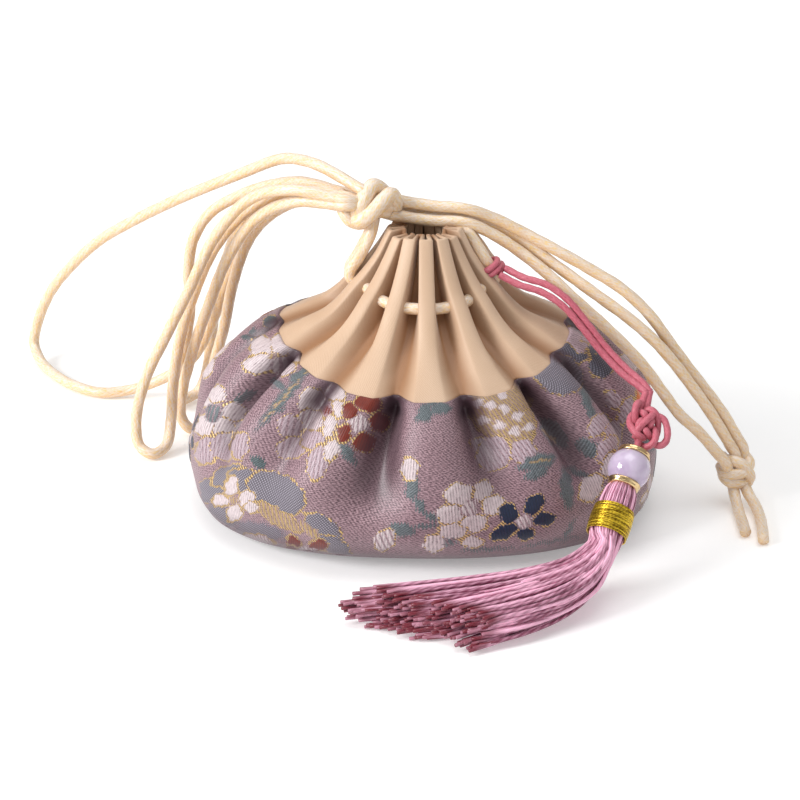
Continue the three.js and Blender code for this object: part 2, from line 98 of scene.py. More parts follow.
def joinParts(parts):
    points, faces, lays, values, base = [], [], [], {}, 0
    for part in parts:
        points.append(part["points"])
        for face, lay in zip(part["faces"], part["lays"]):
            faces.append(face + base)
            lays.append(lay)
        for name, value in part.get("values", {}).items():
            values.setdefault(name, []).append(value)
        base += len(part["points"])
    return {
        "points": np.vstack(points),
        "faces": faces,
        "lays": lays,
        "values": {name: np.concatenate(value) for name, value in values.items()},
    }


def makePiece(name, part, material, nodes):
    points = part["points"]
    mesh = bpy.data.meshes.new(name)
    mesh.vertices.add(len(points))
    mesh.vertices.foreach_set("co", (points * mm).astype(np.float32).ravel())
    totals = np.concatenate([np.full(len(face), face.shape[1]) for face in part["faces"]])
    corners = np.concatenate([face.ravel() for face in part["faces"]])
    mesh.loops.add(len(corners))
    mesh.loops.foreach_set("vertex_index", corners.astype(np.int32))
    mesh.polygons.add(len(totals))
    mesh.polygons.foreach_set("loop_start", (np.cumsum(totals) - totals).astype(np.int32))
    mesh.polygons.foreach_set("use_smooth", np.ones(len(totals), bool))
    mesh.update(calc_edges=True)
    lay = mesh.uv_layers.new(name="lay")
    flat = np.concatenate([corner.reshape(-1, 2) for corner in part["lays"]])
    lay.data.foreach_set("uv", flat.astype(np.float32).ravel())
    for key, value in part.get("values", {}).items():
        if value.ndim == 1:
            mesh.attributes.new(key, "FLOAT", "POINT").data.foreach_set("value", value.astype(np.float32))
        else:
            rgba = np.hstack([value, np.ones((len(value), 1))])
            kept = mesh.attributes.new(key, "FLOAT_COLOR", "POINT")
            kept.data.foreach_set("color", rgba.astype(np.float32).ravel())
    mesh.materials.append(material)
    piece = bpy.data.objects.new(name, mesh)
    bpy.context.scene.collection.objects.link(piece)
    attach(piece, "root")
    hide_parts(*nodes)
    return piece


def runAlong(path):
    # distance from the first point to each point
    return np.concatenate([[0], np.cumsum(np.linalg.norm(np.diff(path, axis=0), axis=1))])


def evenly(path, step, closed=False):
    if closed:
        path = np.vstack([path, path[:1]])
    lengths = runAlong(path)
    count = max(int(round(lengths[-1] / step)), fewestSteps)
    at = np.linspace(0, lengths[-1], count + 1)
    spread = np.stack([np.interp(at, lengths, path[:, axis]) for axis in range(3)], -1)
    return spread[:-1] if closed else spread


def smoothRoute(points, step):
    # one smooth curve through the points
    knots = np.array(points, float)
    ghost = np.vstack([2 * knots[0] - knots[1], knots, 2 * knots[-1] - knots[-2]])
    spans = []
    t = np.linspace(0, 1, spanSteps, endpoint=False)[:, None]
    for i in range(len(knots) - 1):
        a, b, c, d = ghost[i:i + 4]
        ab, bc, cd = [max(np.linalg.norm(q - p), 1e-6) ** 0.5 for p, q in ((a, b), (b, c), (c, d))]
        leave = ((b - a) / ab - (c - a) / (ab + bc) + (c - b) / bc) * bc
        reach = ((c - b) / bc - (d - b) / (bc + cd) + (d - c) / cd) * bc
        bend, turn = 3 * (c - b) - 2 * leave - reach, 2 * (b - c) + leave + reach
        spans.append(b + leave * t + bend * t ** 2 + turn * t ** 3)
    return evenly(np.vstack(spans + [knots[-1:]]), step)


def routeFrames(path, closed):
    if closed:
        ahead = np.roll(path, -1, 0) - np.roll(path, 1, 0)
    else:
        ahead = np.gradient(path, axis=0)
    ahead /= np.linalg.norm(ahead, axis=1, keepdims=True)
    side = np.cross(ahead[0], startSide)
    sides = []
    for way in ahead:
        side = side - np.dot(side, way) * way
        side = side / np.linalg.norm(side)
        sides.append(side)
    sides = np.array(sides)
    over = np.cross(ahead, sides)
    if closed:
        # share the leftover twist along the ring
        last = sides[-1] - np.dot(sides[-1], ahead[0]) * ahead[0]
        twist = math.atan2(np.dot(last, over[0]), np.dot(last, sides[0]))
        angle = (-twist * np.arange(len(path)) / len(path))[:, None]
        c, s = np.cos(angle), np.sin(angle)
        sides, over = sides * c + over * s, over * c - sides * s
    return ahead, sides, over


def tubePart(path, radius, sides, closed=False, relief=None, values=None):
    # relief(along, around) gives the share by which the surface stands out
    ahead, side, over = routeFrames(path, closed)
    along = runAlong(path)
    length = along[-1] + (np.linalg.norm(path[0] - path[-1]) if closed else 0)
    around = np.arange(sides) / sides
    size = np.asarray(radius, float).reshape(-1, 1) * np.ones((len(path), sides))
    if relief:
        size = size * (1 + relief(along[:, None], around[None, :]))
    phi = around * turnFull
    points = (
        path[:, None, :]
        + (size * np.cos(phi))[..., None] * side[:, None, :]
        + (size * np.sin(phi))[..., None] * over[:, None, :]
    ).reshape(-1, 3)
    rows = len(path)
    grown = np.append(along, length)
    turns = rows + 1 if closed else rows
    faces = [gridFaces(turns, sides) % (rows * sides)]
    lays = [gridLay(lambda a, b: grown[a], lambda a, b: b / sides, turns, sides)]
    if not closed:
        dome = endDome * size[[0, -1], 0]
        ends = np.stack([path[0] - ahead[0] * dome[0], path[-1] + ahead[-1] * dome[1]])
        points = np.vstack([points, ends])
        faces += [fanFaces(rows * sides, 0, sides, True), fanFaces(rows * sides + 1, (rows - 1) * sides, sides)]
        j = np.arange(sides)
        fanLay = np.stack([j + 0.5, (j + 1) % sides, j], -1) / sides
        lays += [np.stack([np.full((sides, 3), place), fanLay], -1) for place in (0.0, length)]
    part = {"points": points, "faces": faces, "lays": lays}
    if values:
        part["values"] = {name: np.full(len(points), value) for name, value in values.items()}
    return part


# material helpers
def linear(red, green, blue):
    # paint-chip colour, 0 to 255, as the shader wants it
    parts = [value / 255 for value in (red, green, blue)]
    return tuple(v / 12.92 if v <= 0.04045 else ((v + 0.055) / 1.055) ** 2.4 for v in parts) + (1.0,)


def newMaterial(name, sockets):
    material = bpy.data.materials.new(name)
    material.use_nodes = True
    shader = material.node_tree.nodes["Principled BSDF"]
    for socket, value in sockets.items():
        shader.inputs[socket].default_value = value
    return material, material.node_tree, shader


def addNode(tree, kind, inputs=None, **settings):
    made = tree.nodes.new(kind)
    for name, value in settings.items():
        setattr(made, name, value)
    for key, value in (inputs or {}).items():
        if isinstance(value, bpy.types.NodeSocket):
            tree.links.new(value, made.inputs[key])
        else:
            made.inputs[key].default_value = value
    return made


def sums(tree, operation, *values, clamp=False):
    return addNode(tree, "ShaderNodeMath", dict(enumerate(values)), operation=operation, use_clamp=clamp).outputs[0]


def times(tree, first, second):
    return sums(tree, "MULTIPLY", first, second)


def plus(tree, first, second, clamp=False):
    return sums(tree, "ADD", first, second, clamp=clamp)


def minus(tree, first, second):
    return sums(tree, "SUBTRACT", first, second)


def timesPlus(tree, first, second, third):
    return sums(tree, "MULTIPLY_ADD", first, second, third)


def blend(tree, factor, first, second, kind="MIX"):
    inputs = {0: factor, 6: first, 7: second}
    return addNode(tree, "ShaderNodeMix", inputs, data_type="RGBA", blend_type=kind).outputs[2]


def between(tree, value, low, high):
    inputs = {0: value, 1: low, 2: high, 3: 0.0, 4: 1.0}
    return addNode(tree, "ShaderNodeMapRange", inputs, interpolation_type="SMOOTHSTEP").outputs[0]


def stored(tree, name, output="Fac"):
    return addNode(tree, "ShaderNodeAttribute", attribute_name=name).outputs[output]


def layOf(tree):
    lay = addNode(tree, "ShaderNodeUVMap", uv_map="lay").outputs[0]
    parts = addNode(tree, "ShaderNodeSeparateXYZ", {0: lay})
    return lay, parts.outputs[0], parts.outputs[1]


def ripple(tree, value, period):
    # 0 to 1 and back once every period
    swing = sums(tree, "SINE", times(tree, value, turnFull / period))
    return timesPlus(tree, swing, 0.5, 0.5)


def grain(tree, vector, scale, detail=2.0):
    inputs = {"Vector": vector, "Scale": scale, "Detail": detail}
    return addNode(tree, "ShaderNodeTexNoise", inputs).outputs[0]


def stretched(tree, vector, size):
    return addNode(tree, "ShaderNodeMapping", {0: vector, 3: size}).outputs[0]


def paired(tree, first, second):
    return addNode(tree, "ShaderNodeCombineXYZ", {0: first, 1: second}).outputs[0]


def bumped(tree, shader, height, strength, distance):
    made = addNode(tree, "ShaderNodeBump", {"Height": height, "Strength": strength, "Distance": distance * mm})
    tree.links.new(made.outputs[0], shader.inputs["Normal"])


# braided look: sizes of the ply, streaks, crossing lanes and filament ends, and the weight of each in colour and
# height; upward is the weight of the painted shade under the cord
braid = {
    "middle": 0.6,
    "ply": 2.4,
    "lean": 0.035,
    "streaks": (0.06, 17.0),
    "lanes": (2.6, 0.3),
    "ends": (0.95, 24.0),
    "endRange": (0.5, 0.68),
    "colour": {"weave": 0.18, "ply": 0.14, "streak": 1.25, "lane": 0.55, "upward": 0.28, "end": 0.7},
    "height": {"weave": 0.7, "fine": 0.3, "streak": 1.2},
}

# satin knotting cord: cream, with a yellow shade colour that is painted shade between the braided threads and under the
# cord, and also streaks of ochre threads
ivoryCord = {
    "thick": 2.4,
    "sides": 18,
    "step": 0.42,
    "strands": 8,
    "pitch": 10.8,
    "relief": 0.03,
    "contrast": (-0.42, 0.88),
    "pale": linear(238, 225, 212),
    "shade": linear(222, 176, 118),
    "fleck": linear(240, 202, 122),
}


def braidRelief(lanes, pitch, height):
    # threads that cross, standing out where one lies on top
    def relief(along, around):
        first = np.cos(turnFull * (lanes * around + along / pitch))
        second = np.cos(turnFull * (lanes * around - along / pitch))
        return height * (np.maximum(first, second) - braid["middle"])

    return relief


ivoryRelief = braidRelief(4, ivoryCord["pitch"] / 2, ivoryCord["relief"])


def braidMaterial(name, cord, sockets):
    material, tree, shader = newMaterial(name, sockets)
    along, around = layOf(tree)[1:]
    turns = times(tree, around, float(cord["strands"]))
    climb = times(tree, along, cord["strands"] / cord["pitch"])
    first = ripple(tree, plus(tree, turns, climb), 1.0)
    second = ripple(tree, minus(tree, turns, climb), 1.0)
    weave = sums(tree, "MAXIMUM", first, second)
    fine = ripple(tree, timesPlus(tree, turns, 2.0, times(tree, along, braid["ply"])), 1.0)
    twist = timesPlus(tree, along, braid["lean"], around)

    def drawnOut(first, size, second, detail):
        return grain(tree, paired(tree, times(tree, first, size), times(tree, *second)), 1.0, detail)

    weights = braid["colour"]
    streak = drawnOut(along, braid["streaks"][0], (twist, braid["streaks"][1]), 2.0)
    # the crossing threads are paler, with painted shade between them; streaks and lanes vary the tone at random
    lit = timesPlus(tree, weave, weights["weave"], times(tree, fine, weights["ply"]))
    lit = timesPlus(tree, minus(tree, streak, 0.45), weights["streak"], lit)
    for side in ("ADD", "SUBTRACT"):
        lane = drawnOut(sums(tree, side, turns, climb), braid["lanes"][0], (along, braid["lanes"][1]), 1.0)
        lit = timesPlus(tree, minus(tree, lane, 0.5), weights["lane"], lit)
    # painted shade: the side turned to the floor is painted in the deeper shade colour and the top paler
    normal = addNode(tree, "ShaderNodeNewGeometry").outputs["Normal"]
    turned = addNode(tree, "ShaderNodeSeparateXYZ", {0: normal}).outputs[2]
    lit = timesPlus(tree, turned, weights["upward"], lit)
    colour = blend(tree, between(tree, lit, *cord["contrast"]), cord["shade"], cord["pale"])
    # short glossy ends of filament
    short = drawnOut(along, braid["ends"][0], (twist, braid["ends"][1]), 1.0)
    short = between(tree, short, *braid["endRange"])
    colour = blend(tree, times(tree, short, weights["end"]), colour, cord["fleck"])
    tree.links.new(colour, shader.inputs["Base Color"])
    weights = braid["height"]
    height = timesPlus(tree, streak, weights["streak"], times(tree, weave, weights["weave"]))
    height = timesPlus(tree, plus(tree, fine, short), weights["fine"], height)
    bumped(tree, shader, height, 0.4, 0.1)
    return material


ivory = braidMaterial("ivorySatinCord", ivoryCord, {"Roughness": 0.3, "Sheen Weight": 0.25, "Sheen Roughness": 0.4})

# free cords, within a few millimetres of their solids
ivoryRoutes = {
    "loop_big": [
        (-13.7, 1.2, 68.9), (-17.2, 4, 70.1), (-21.3, 8, 70.9), (-25.5, 13, 70.4), (-29.7, 18, 68.7),
        (-38.8, 27, 62), (-52.4, 38, 52.3), (-63, 46.5, 44), (-72, 54, 36), (-79.5, 60.5, 27), (-85, 65.5, 18.6),
        (-88.6, 68.6, 10), (-89.8, 69, 4.4), (-88, 65, 1.8), (-84, 58, 1.4), (-79, 52, 1.4), (-72.5, 48.2, 1.4),
        (-65.5, 48.2, 2.2), (-58, 47, 5.6), (-51.5, 43.6, 11.8), (-46.8, 39, 21.6), (-43.2, 34, 33),
        (-39.5, 29, 43.7), (-35.3, 23, 52.4), (-29.9, 15.8, 60.3), (-24, 10, 64.2), (-17.3, 5.4, 65),
    ],
    "loop_front": [
        (-17.3, -1.4, 67.4), (-27.4, 2, 68), (-35.8, 8, 63.6), (-43.6, 13.5, 53), (-49.6, 17, 39.6), (-55, 19, 28),
        (-59.6, 20, 18), (-62, 19.6, 8.5), (-61.4, 17.6, 3), (-58.6, 16.4, 1.5), (-55.8, 19, 2.2), (-54.8, 23, 6.6),
        (-54.4, 25.4, 13), (-52.6, 25.4, 24), (-49, 23.6, 36), (-44, 20.4, 48), (-37, 15.4, 58), (-29, 9, 64.3),
        (-22, 4.2, 66.7), (-17.3, 1.6, 66.9),
    ],
    "loop_side": [
        (-17.3, -1.6, 66.1), (-25.9, 2.4, 65.3), (-33.9, 9.4, 59.4), (-40.6, 16.6, 48.2), (-45.8, 22.6, 34),
        (-50.2, 27.6, 20), (-52.8, 29.8, 9.5), (-53, 29.4, 4), (-51, 29, 1.5), (-48.6, 31, 2), (-47.2, 34.4, 6.4),
        (-46, 35.6, 14), (-43.4, 32.6, 24), (-41, 28.4, 36), (-37.5, 23.2, 47.6), (-33.1, 17.4, 55.6),
        (-27.5, 11.4, 61.4), (-22.9, 5.4, 64.2), (-17.3, 1.5, 65.2),
    ],
    "loop_back": [
        (-17.3, 5.2, 66.4), (-25, 12.2, 65.8), (-32, 18.8, 62.6), (-39, 24.6, 58), (-45.6, 28.4, 52.4),
        (-49.4, 30.4, 45.4), (-50.6, 31.4, 38), (-50.6, 32.8, 29), (-52.4, 35, 18), (-54.6, 37.4, 8),
        (-55, 40.6, 2.8), (-53.2, 44.4, 1.6), (-50.4, 46.8, 2.4), (-48.6, 47.2, 6.6), (-47.4, 46, 14),
        (-45.6, 42.6, 26), (-43.4, 38, 36), (-40, 32, 46.8), (-35, 25.4, 55.9), (-28, 18, 62.1), (-22.6, 12.8, 64.4),
        (-17.3, 9, 64.8),
    ],
    "strand_low": [
        (-5, 2, 62.3), (1.2, 2.2, 61.3), (8.5, 2, 60.8), (14, 2.8, 58), (19.5, 2.5, 54.3), (25, 0.4, 50.4),
        (30.4, -2.2, 46), (36, -4.4, 41.5), (40.8, -6, 37.2), (45, -6.6, 32.6), (48.9, -6.4, 27), (52.8, -5.8, 21.4),
        (57, -5.2, 17.1), (61.4, -4.6, 11.6),
    ],
    "strand_mid": [
        (-5, 4.8, 62.5), (1.2, 5, 61.6), (8.5, 4.8, 61.2), (14.4, 5.7, 58.8), (19.9, 5.4, 55.7), (25.8, 3.2, 51.9),
        (31.2, 1.2, 48.5), (36.6, -0.6, 45), (41.8, -2, 41.5), (46.8, -2.8, 37.2), (51.5, -2.8, 31.7),
        (56, -2.4, 25.4), (60.1, -1.9, 19.2), (64, -1.8, 12.5),
    ],
    "strand_high": [
        (-5, 3.4, 65.1), (1.2, 3.6, 64), (8.5, 3.4, 63.3), (14.4, 4.7, 60.7), (20.6, 4.8, 57.4), (27.2, 3.6, 54.1),
        (34, 2.6, 50.4), (40.6, 1.6, 46.4), (46.2, 0.8, 41.2), (50.6, 0.3, 35.2), (54.8, 0, 29.4), (58.7, 0, 24.2),
        (62.5, -0.2, 18.9), (65.9, -0.3, 13),
    ],
}


def ivoryTube(route, thick=ivoryCord["thick"]):
    return tubePart(smoothRoute(route, ivoryCord["step"]), thick / 2, ivoryCord["sides"], relief=ivoryRelief)


placeCamera()
for name, route in ivoryRoutes.items():
    makePiece(name + "_cord", ivoryTube(route), ivory, [name])

# pleats shared by the bag and its collar: turn of each ridge, and how far the valley after it is drawn in
pleats = [
    (1.5, 1.15), (4, 1.3), (1, 0.9), (-4, 0.8), (0, 0.9), (1, 1), (-1, 1.1), (2, 0.9), (0, 1), (-1, 1), (1, 0.8),
    (2, 1.3), (0, 0.75), (0, 1.45),
]
pleatCount = len(pleats)
pitch = turnFull / pleatCount
ridges = np.array([k * pitch + math.radians(pleats[k % pleatCount][0]) for k in range(pleatCount + 1)])
ridges[-1] = turnFull + math.radians(pleats[0][0])
swells = np.array([swell for turn, swell in pleats])


def pleatPhase(angle):
    # whole numbers on the ridges, halves in the valleys
    troughs = (ridges[:-1] + ridges[1:]) / 2
    knots = np.stack([ridges[:-1], troughs], -1).ravel()
    knots = np.append(knots, ridges[-1])
    shifted = (angle - ridges[0]) % turnFull + ridges[0]
    return np.interp(shifted, knots, np.arange(len(knots)) / 2)


def smoothTable(at, knots, values):
    # cubic through a short table, flat past its ends
    x, y = np.asarray(knots, float), np.asarray(values, float)
    slope = np.gradient(y, x)
    at = np.clip(at, x[0], x[-1])
    i = np.clip(np.searchsorted(x, at, side="right") - 1, 0, len(x) - 2)
    h = x[i + 1] - x[i]
    t = (at - x[i]) / h
    return (
        y[i] * (1 + 2 * t) * (1 - t) ** 2 + slope[i] * h * t * (1 - t) ** 2
        + y[i + 1] * t ** 2 * (3 - 2 * t) + slope[i + 1] * h * t ** 2 * (t - 1)
    )


def outline(angle, wide, deep, height, rise, square=2.0):
    # angle 0 is the front of the pouch and grows toward +X
    across, front = np.sin(angle), np.cos(angle)
    x = wide * np.sign(across) * np.abs(across) ** (2 / square)
    y = -deep * np.sign(front) * np.abs(front) ** (2 / square)
    return np.stack(np.broadcast_arrays(x, y, height + rise * across ** 4), -1)


# brocade bag: share of the seam height, half width, half depth, squareness, depth of the gathers
brocadeBag = {
    "seamHeight": 35.3,
    "seamRise": 5,
    "wall": 1.1,
    "columns": 600,
    "rows": 140,
    "deeper": 3.2,
    "seamFold": 2.0,
    "raise": 0.16,
    "girth": 276.0,
    # gathers: where they start to narrow and over what share, and the narrow fold's weight, width and softer rest
    "narrows": (0.5, 0.35),
    "narrow": (0.72, 0.3, 0.28),
    # hem under the seam: start, span, curve; and its folds: least, more at front and back, share of the swell
    "hem": (0.91, 0.09, 1.5),
    "hemFold": (0.75, 0.45, 0.8),
    # ridges of the seam: width, fall, curve
    "seamRidge": (0.42, 0.5, 1.15),
    # soft dents: size, waves round the bag, waves up it, start
    "dents": [(0.3, 5, 9, 0), (0.25, 9, -14, 1.3), (0.2, 17, 6, 0)],
    # rolled upper edge: reach inward, drop
    "rolls": [(0.3, -0.02), (0.6, 0.2), (0.9, 0.5), (1.1, 0.9)],
    # a small step for slopes, and the lowest share, where the step goes up
    "slopeStep": 0.005,
    "lowest": 0.006,
    # painted shade in the gathers, in the valleys under the seam and toward the base: depth that counts as full, valley
    # width, start and span, their weights, height of the painted shade at the base
    "fullDepth": 5,
    "valley": (0.38, 0.76, 0.14),
    "valleyShade": 1.7,
    "baseShade": 1.3,
    "baseHeight": 0.28,
    "lining": (0.99, 0.97, 0.95, 0.93, 0.9, 0.86, 0.8, 0.65, 0.5, 0.35, 0.2, 0.02),
    "sections": [
        (0, 41.5, 26.4, 2.6, 0), (0.035, 45, 30.8, 2.5, 0), (0.1, 47.1, 34.8, 2.4, 0), (0.2, 48.3, 38, 2.3, 0.1),
        (0.38, 48.75, 40, 2.2, 0.3), (0.5, 48.3, 39.8, 2.15, 0.8), (0.634, 46.6, 39, 2.1, 1.4),
        (0.768, 43, 37, 2.05, 1.9), (0.882, 38.4, 34.4, 2, 2), (0.965, 33.7, 31.8, 2, 1.6), (1, 30.7, 30.2, 2, 1.3),
    ],
}
bagTable = np.array(brocadeBag["sections"])


def bagSmooth(angle, share):
    # the bag without its gathers, where the pattern is laid out
    wide, deep, square = [smoothTable(share, bagTable[:, 0], bagTable[:, k]) for k in (1, 2, 3)]
    return outline(angle, wide, deep, share * brocadeBag["seamHeight"], share * brocadeBag["seamRise"], square)


def seamDrop(q):
    # across half a pleat at the seam, 0 on the ridge and 1 in the valley
    wide, fall, curve = brocadeBag["seamRidge"]
    return np.clip((q - wide) / fall, 0, 1) ** curve


def bagGather(angle, share):
    phase = pleatPhase(angle)
    t = np.abs((phase % 1) - 0.5) * 2
    swell = swells[np.floor(phase).astype(int) % pleatCount]
    start, span = brocadeBag["narrows"]
    pinch = np.clip((share - start) / span, 0, 1)
    weight, wide, rest = brocadeBag["narrow"]
    narrow = weight * np.exp(-(t / wide) ** 2) + rest * np.cos(np.pi * t / 2) ** 2
    shape = (1 - pinch) * np.cos(np.pi * t / 2) ** 2.5 + pinch * narrow
    fold = smoothTable(share, bagTable[:, 0], bagTable[:, 4]) * brocadeBag["deeper"] * swell * shape
    start, span, curve = brocadeBag["hem"]
    hem = np.clip((share - start) / span, 0, 1) ** curve
    least, more, part = brocadeBag["hemFold"]
    seamFold = brocadeBag["seamFold"] * (least + more * np.cos(angle) ** 2) * swell ** part
    fold = fold * (1 - hem) + seamFold * seamDrop(1 - t) * hem
    soft = sum(size * np.sin(turn * angle + rise * share + at) for size, turn, rise, at in brocadeBag["dents"])
    puff = soft * np.clip(share * 4, 0, 1) * np.clip((1 - share) * 6, 0, 1)
    return fold - puff


# toward the camera, and millimetres that stand for no petal near
viewWay = (0, -0.906, 0.423)
farOff = 9.0

# woven flowers: paint chip, usual weave and whether a gold line goes round
flowerThreads = {
    "white": ((200, 185, 187), "floats", True),
    "blush": ((178, 158, 166), "hatch", True),
    "rust": ((110, 31, 13), "floats", True),
    "navy": ((12, 30, 58), "floats", True),
    "orange": ((206, 106, 42), "floats", True),
    "leaf": ((94, 102, 106), "twill", False),
    "teal": ((72, 86, 89), "twill", False),
    "grid": ((124, 117, 128), "grid", True),
    "slate": ((86, 84, 96), "grid", True),
    "goldwork": ((168, 140, 94), "hatch", False),
}


def petal(x, y, long, wide, turn, colour, point=0.0, weave=None, edge=None):
    usualWeave, usualEdge = flowerThreads[colour][1:]
    return {
        "x": x, "y": y, "long": long, "wide": wide, "turn": math.radians(turn), "colour": colour, "point": point,
        "weave": weave or usualWeave, "edge": usualEdge if edge is None else edge,
    }


def blossom(reach, long, wide, colour, heart, petals=5, turn=90, point=0.0, heartSize=1.5):
    shapes = []
    for k in range(petals):
        way = turn + 360 * k / petals
        x, y = reach * math.cos(math.radians(way)), reach * math.sin(math.radians(way))
        shapes.append(petal(x, y, long, wide, way, colour, point))
    shapes.append(petal(0, 0, heartSize, heartSize, 0, heart, 0.0, "hatch", False))
    return shapes


def leafSprig(leaves, colour="leaf"):
    # each leaf: x, y, length, width, turn
    return [petal(x, y, long / 2, wide / 2, turn, colour, 1.0) for x, y, long, wide, turn in leaves]


flowerCharts = {
    "rustBlossom": blossom(3.6, 2.05, 1.95, "rust", "white", turn=75, heartSize=1.7),
    "whiteBlossom": blossom(4.1, 2.9, 2.6, "white", "leaf", turn=110),
    "whiteRound": blossom(4.0, 2.6, 2.4, "white", "goldwork", turn=140, heartSize=1.2),
    "blushFan": blossom(4.9, 3.2, 2.3, "blush", "blush", turn=250),
    "navyBlossom": blossom(3.4, 2.3, 1.45, "navy", "white", turn=58, point=0.55, heartSize=1.35),
    "orangeBlossom": blossom(3.4, 2.2, 1.8, "orange", "white", turn=80),
    "smallWhite": blossom(2.6, 1.9, 1.3, "white", "goldwork", turn=100, heartSize=0.9),
    "goldFan": [
        petal(0, 0.6, 5.2, 4.6, 0, "goldwork", 0, "hatch", True),
        *[petal(x, y, 1.0, 0.8, 20, "white", 0, "floats", False) for x, y in (
            (-2.6, 2.6), (-0.4, 3.2), (1.9, 2.8), (-3.2, 0.2), (-0.8, 0.6), (1.8, 0.2), (3.4, 1.4), (0.6, -1.8),
            (3.0, -1.4),
        )],
        petal(-2.2, -5.6, 2.6, 2.1, 60, "blush"),
        petal(-3.6, -4.0, 1.9, 1.5, 130, "blush"),
        petal(3.2, -5.0, 2.0, 1.9, 100, "blush"),
    ],
    "gridPetals": [
        petal(-5.4, 1.8, 5.4, 3.6, 35, "grid"),
        petal(-8.6, -3.4, 5.6, 3.4, 80, "grid"),
        petal(1, 0.4, 9.2, 4.6, -22, "grid"),
        petal(8, -5.4, 6.2, 1.1, -30, "goldwork", 0.7),
        petal(4.6, -4.6, 5.2, 1.5, -28, "goldwork", 0.7),
        petal(11, -7.6, 6.0, 2.4, -35, "grid", 0.6),
    ],
    "gridOval": [
        petal(6.4, 2.6, 5.2, 3.6, 20, "slate"),
        petal(5.2, 8.0, 4.6, 3.2, 60, "slate"),
        petal(0, 0, 4.8, 4.3, -10, "grid"),
        petal(6.8, 4.6, 2.6, 1.5, 120, "blush"),
    ],
    "bud": [
        petal(0.2, -3.0, 2.6, 0.85, 75, "leaf", 0.8),
        petal(1.4, -6.6, 3.2, 0.45, -62, "leaf", 0.6),
        petal(0, 0.4, 1.9, 1.35, 80, "white"),
    ],
    "lyingBud": [
        petal(4.2, 1.8, 3.4, 1.0, 10, "leaf", 0.8),
        petal(8.6, 2.2, 3.6, 0.4, 0, "leaf", 0.5),
        petal(0, 0, 2.2, 1.5, 58, "blush"),
    ],
    "stem": [
        petal(0, 0, 8.6, 0.75, 52, "leaf", 0.3),
        petal(-1.2, 2.6, 2.8, 1.0, 118, "leaf", 0.8),
        petal(2.4, -0.8, 2.8, 0.9, 20, "leaf", 0.8),
        petal(-3.6, -5.4, 3.0, 0.9, 35, "leaf", 0.8),
    ],
    "leafPair": leafSprig([(0, 0, 6.2, 2.0, 40), (-3.2, 1.0, 4.2, 1.5, 150)], "teal"),
    "leafLong": leafSprig([(0, 0, 7.4, 1.9, -58)]),
    "leafSpray": leafSprig([
        (-5.4, -2.2, 9.4, 2.8, 25), (0.6, -4.8, 9.0, 2.7, -84), (5.2, 0.8, 8.4, 2.6, 28), (-2.6, 4.4, 9.0, 3.4, -58),
        (5.8, -3.6, 7.0, 1.6, -30),
    ]),
    "seamLeaf": leafSprig([(0, 0, 7.6, 2.6, 35)]),
    "zigPetals": blossom(3.6, 2.5, 1.7, "blush", "blush", petals=6, turn=70, point=0.3),
}
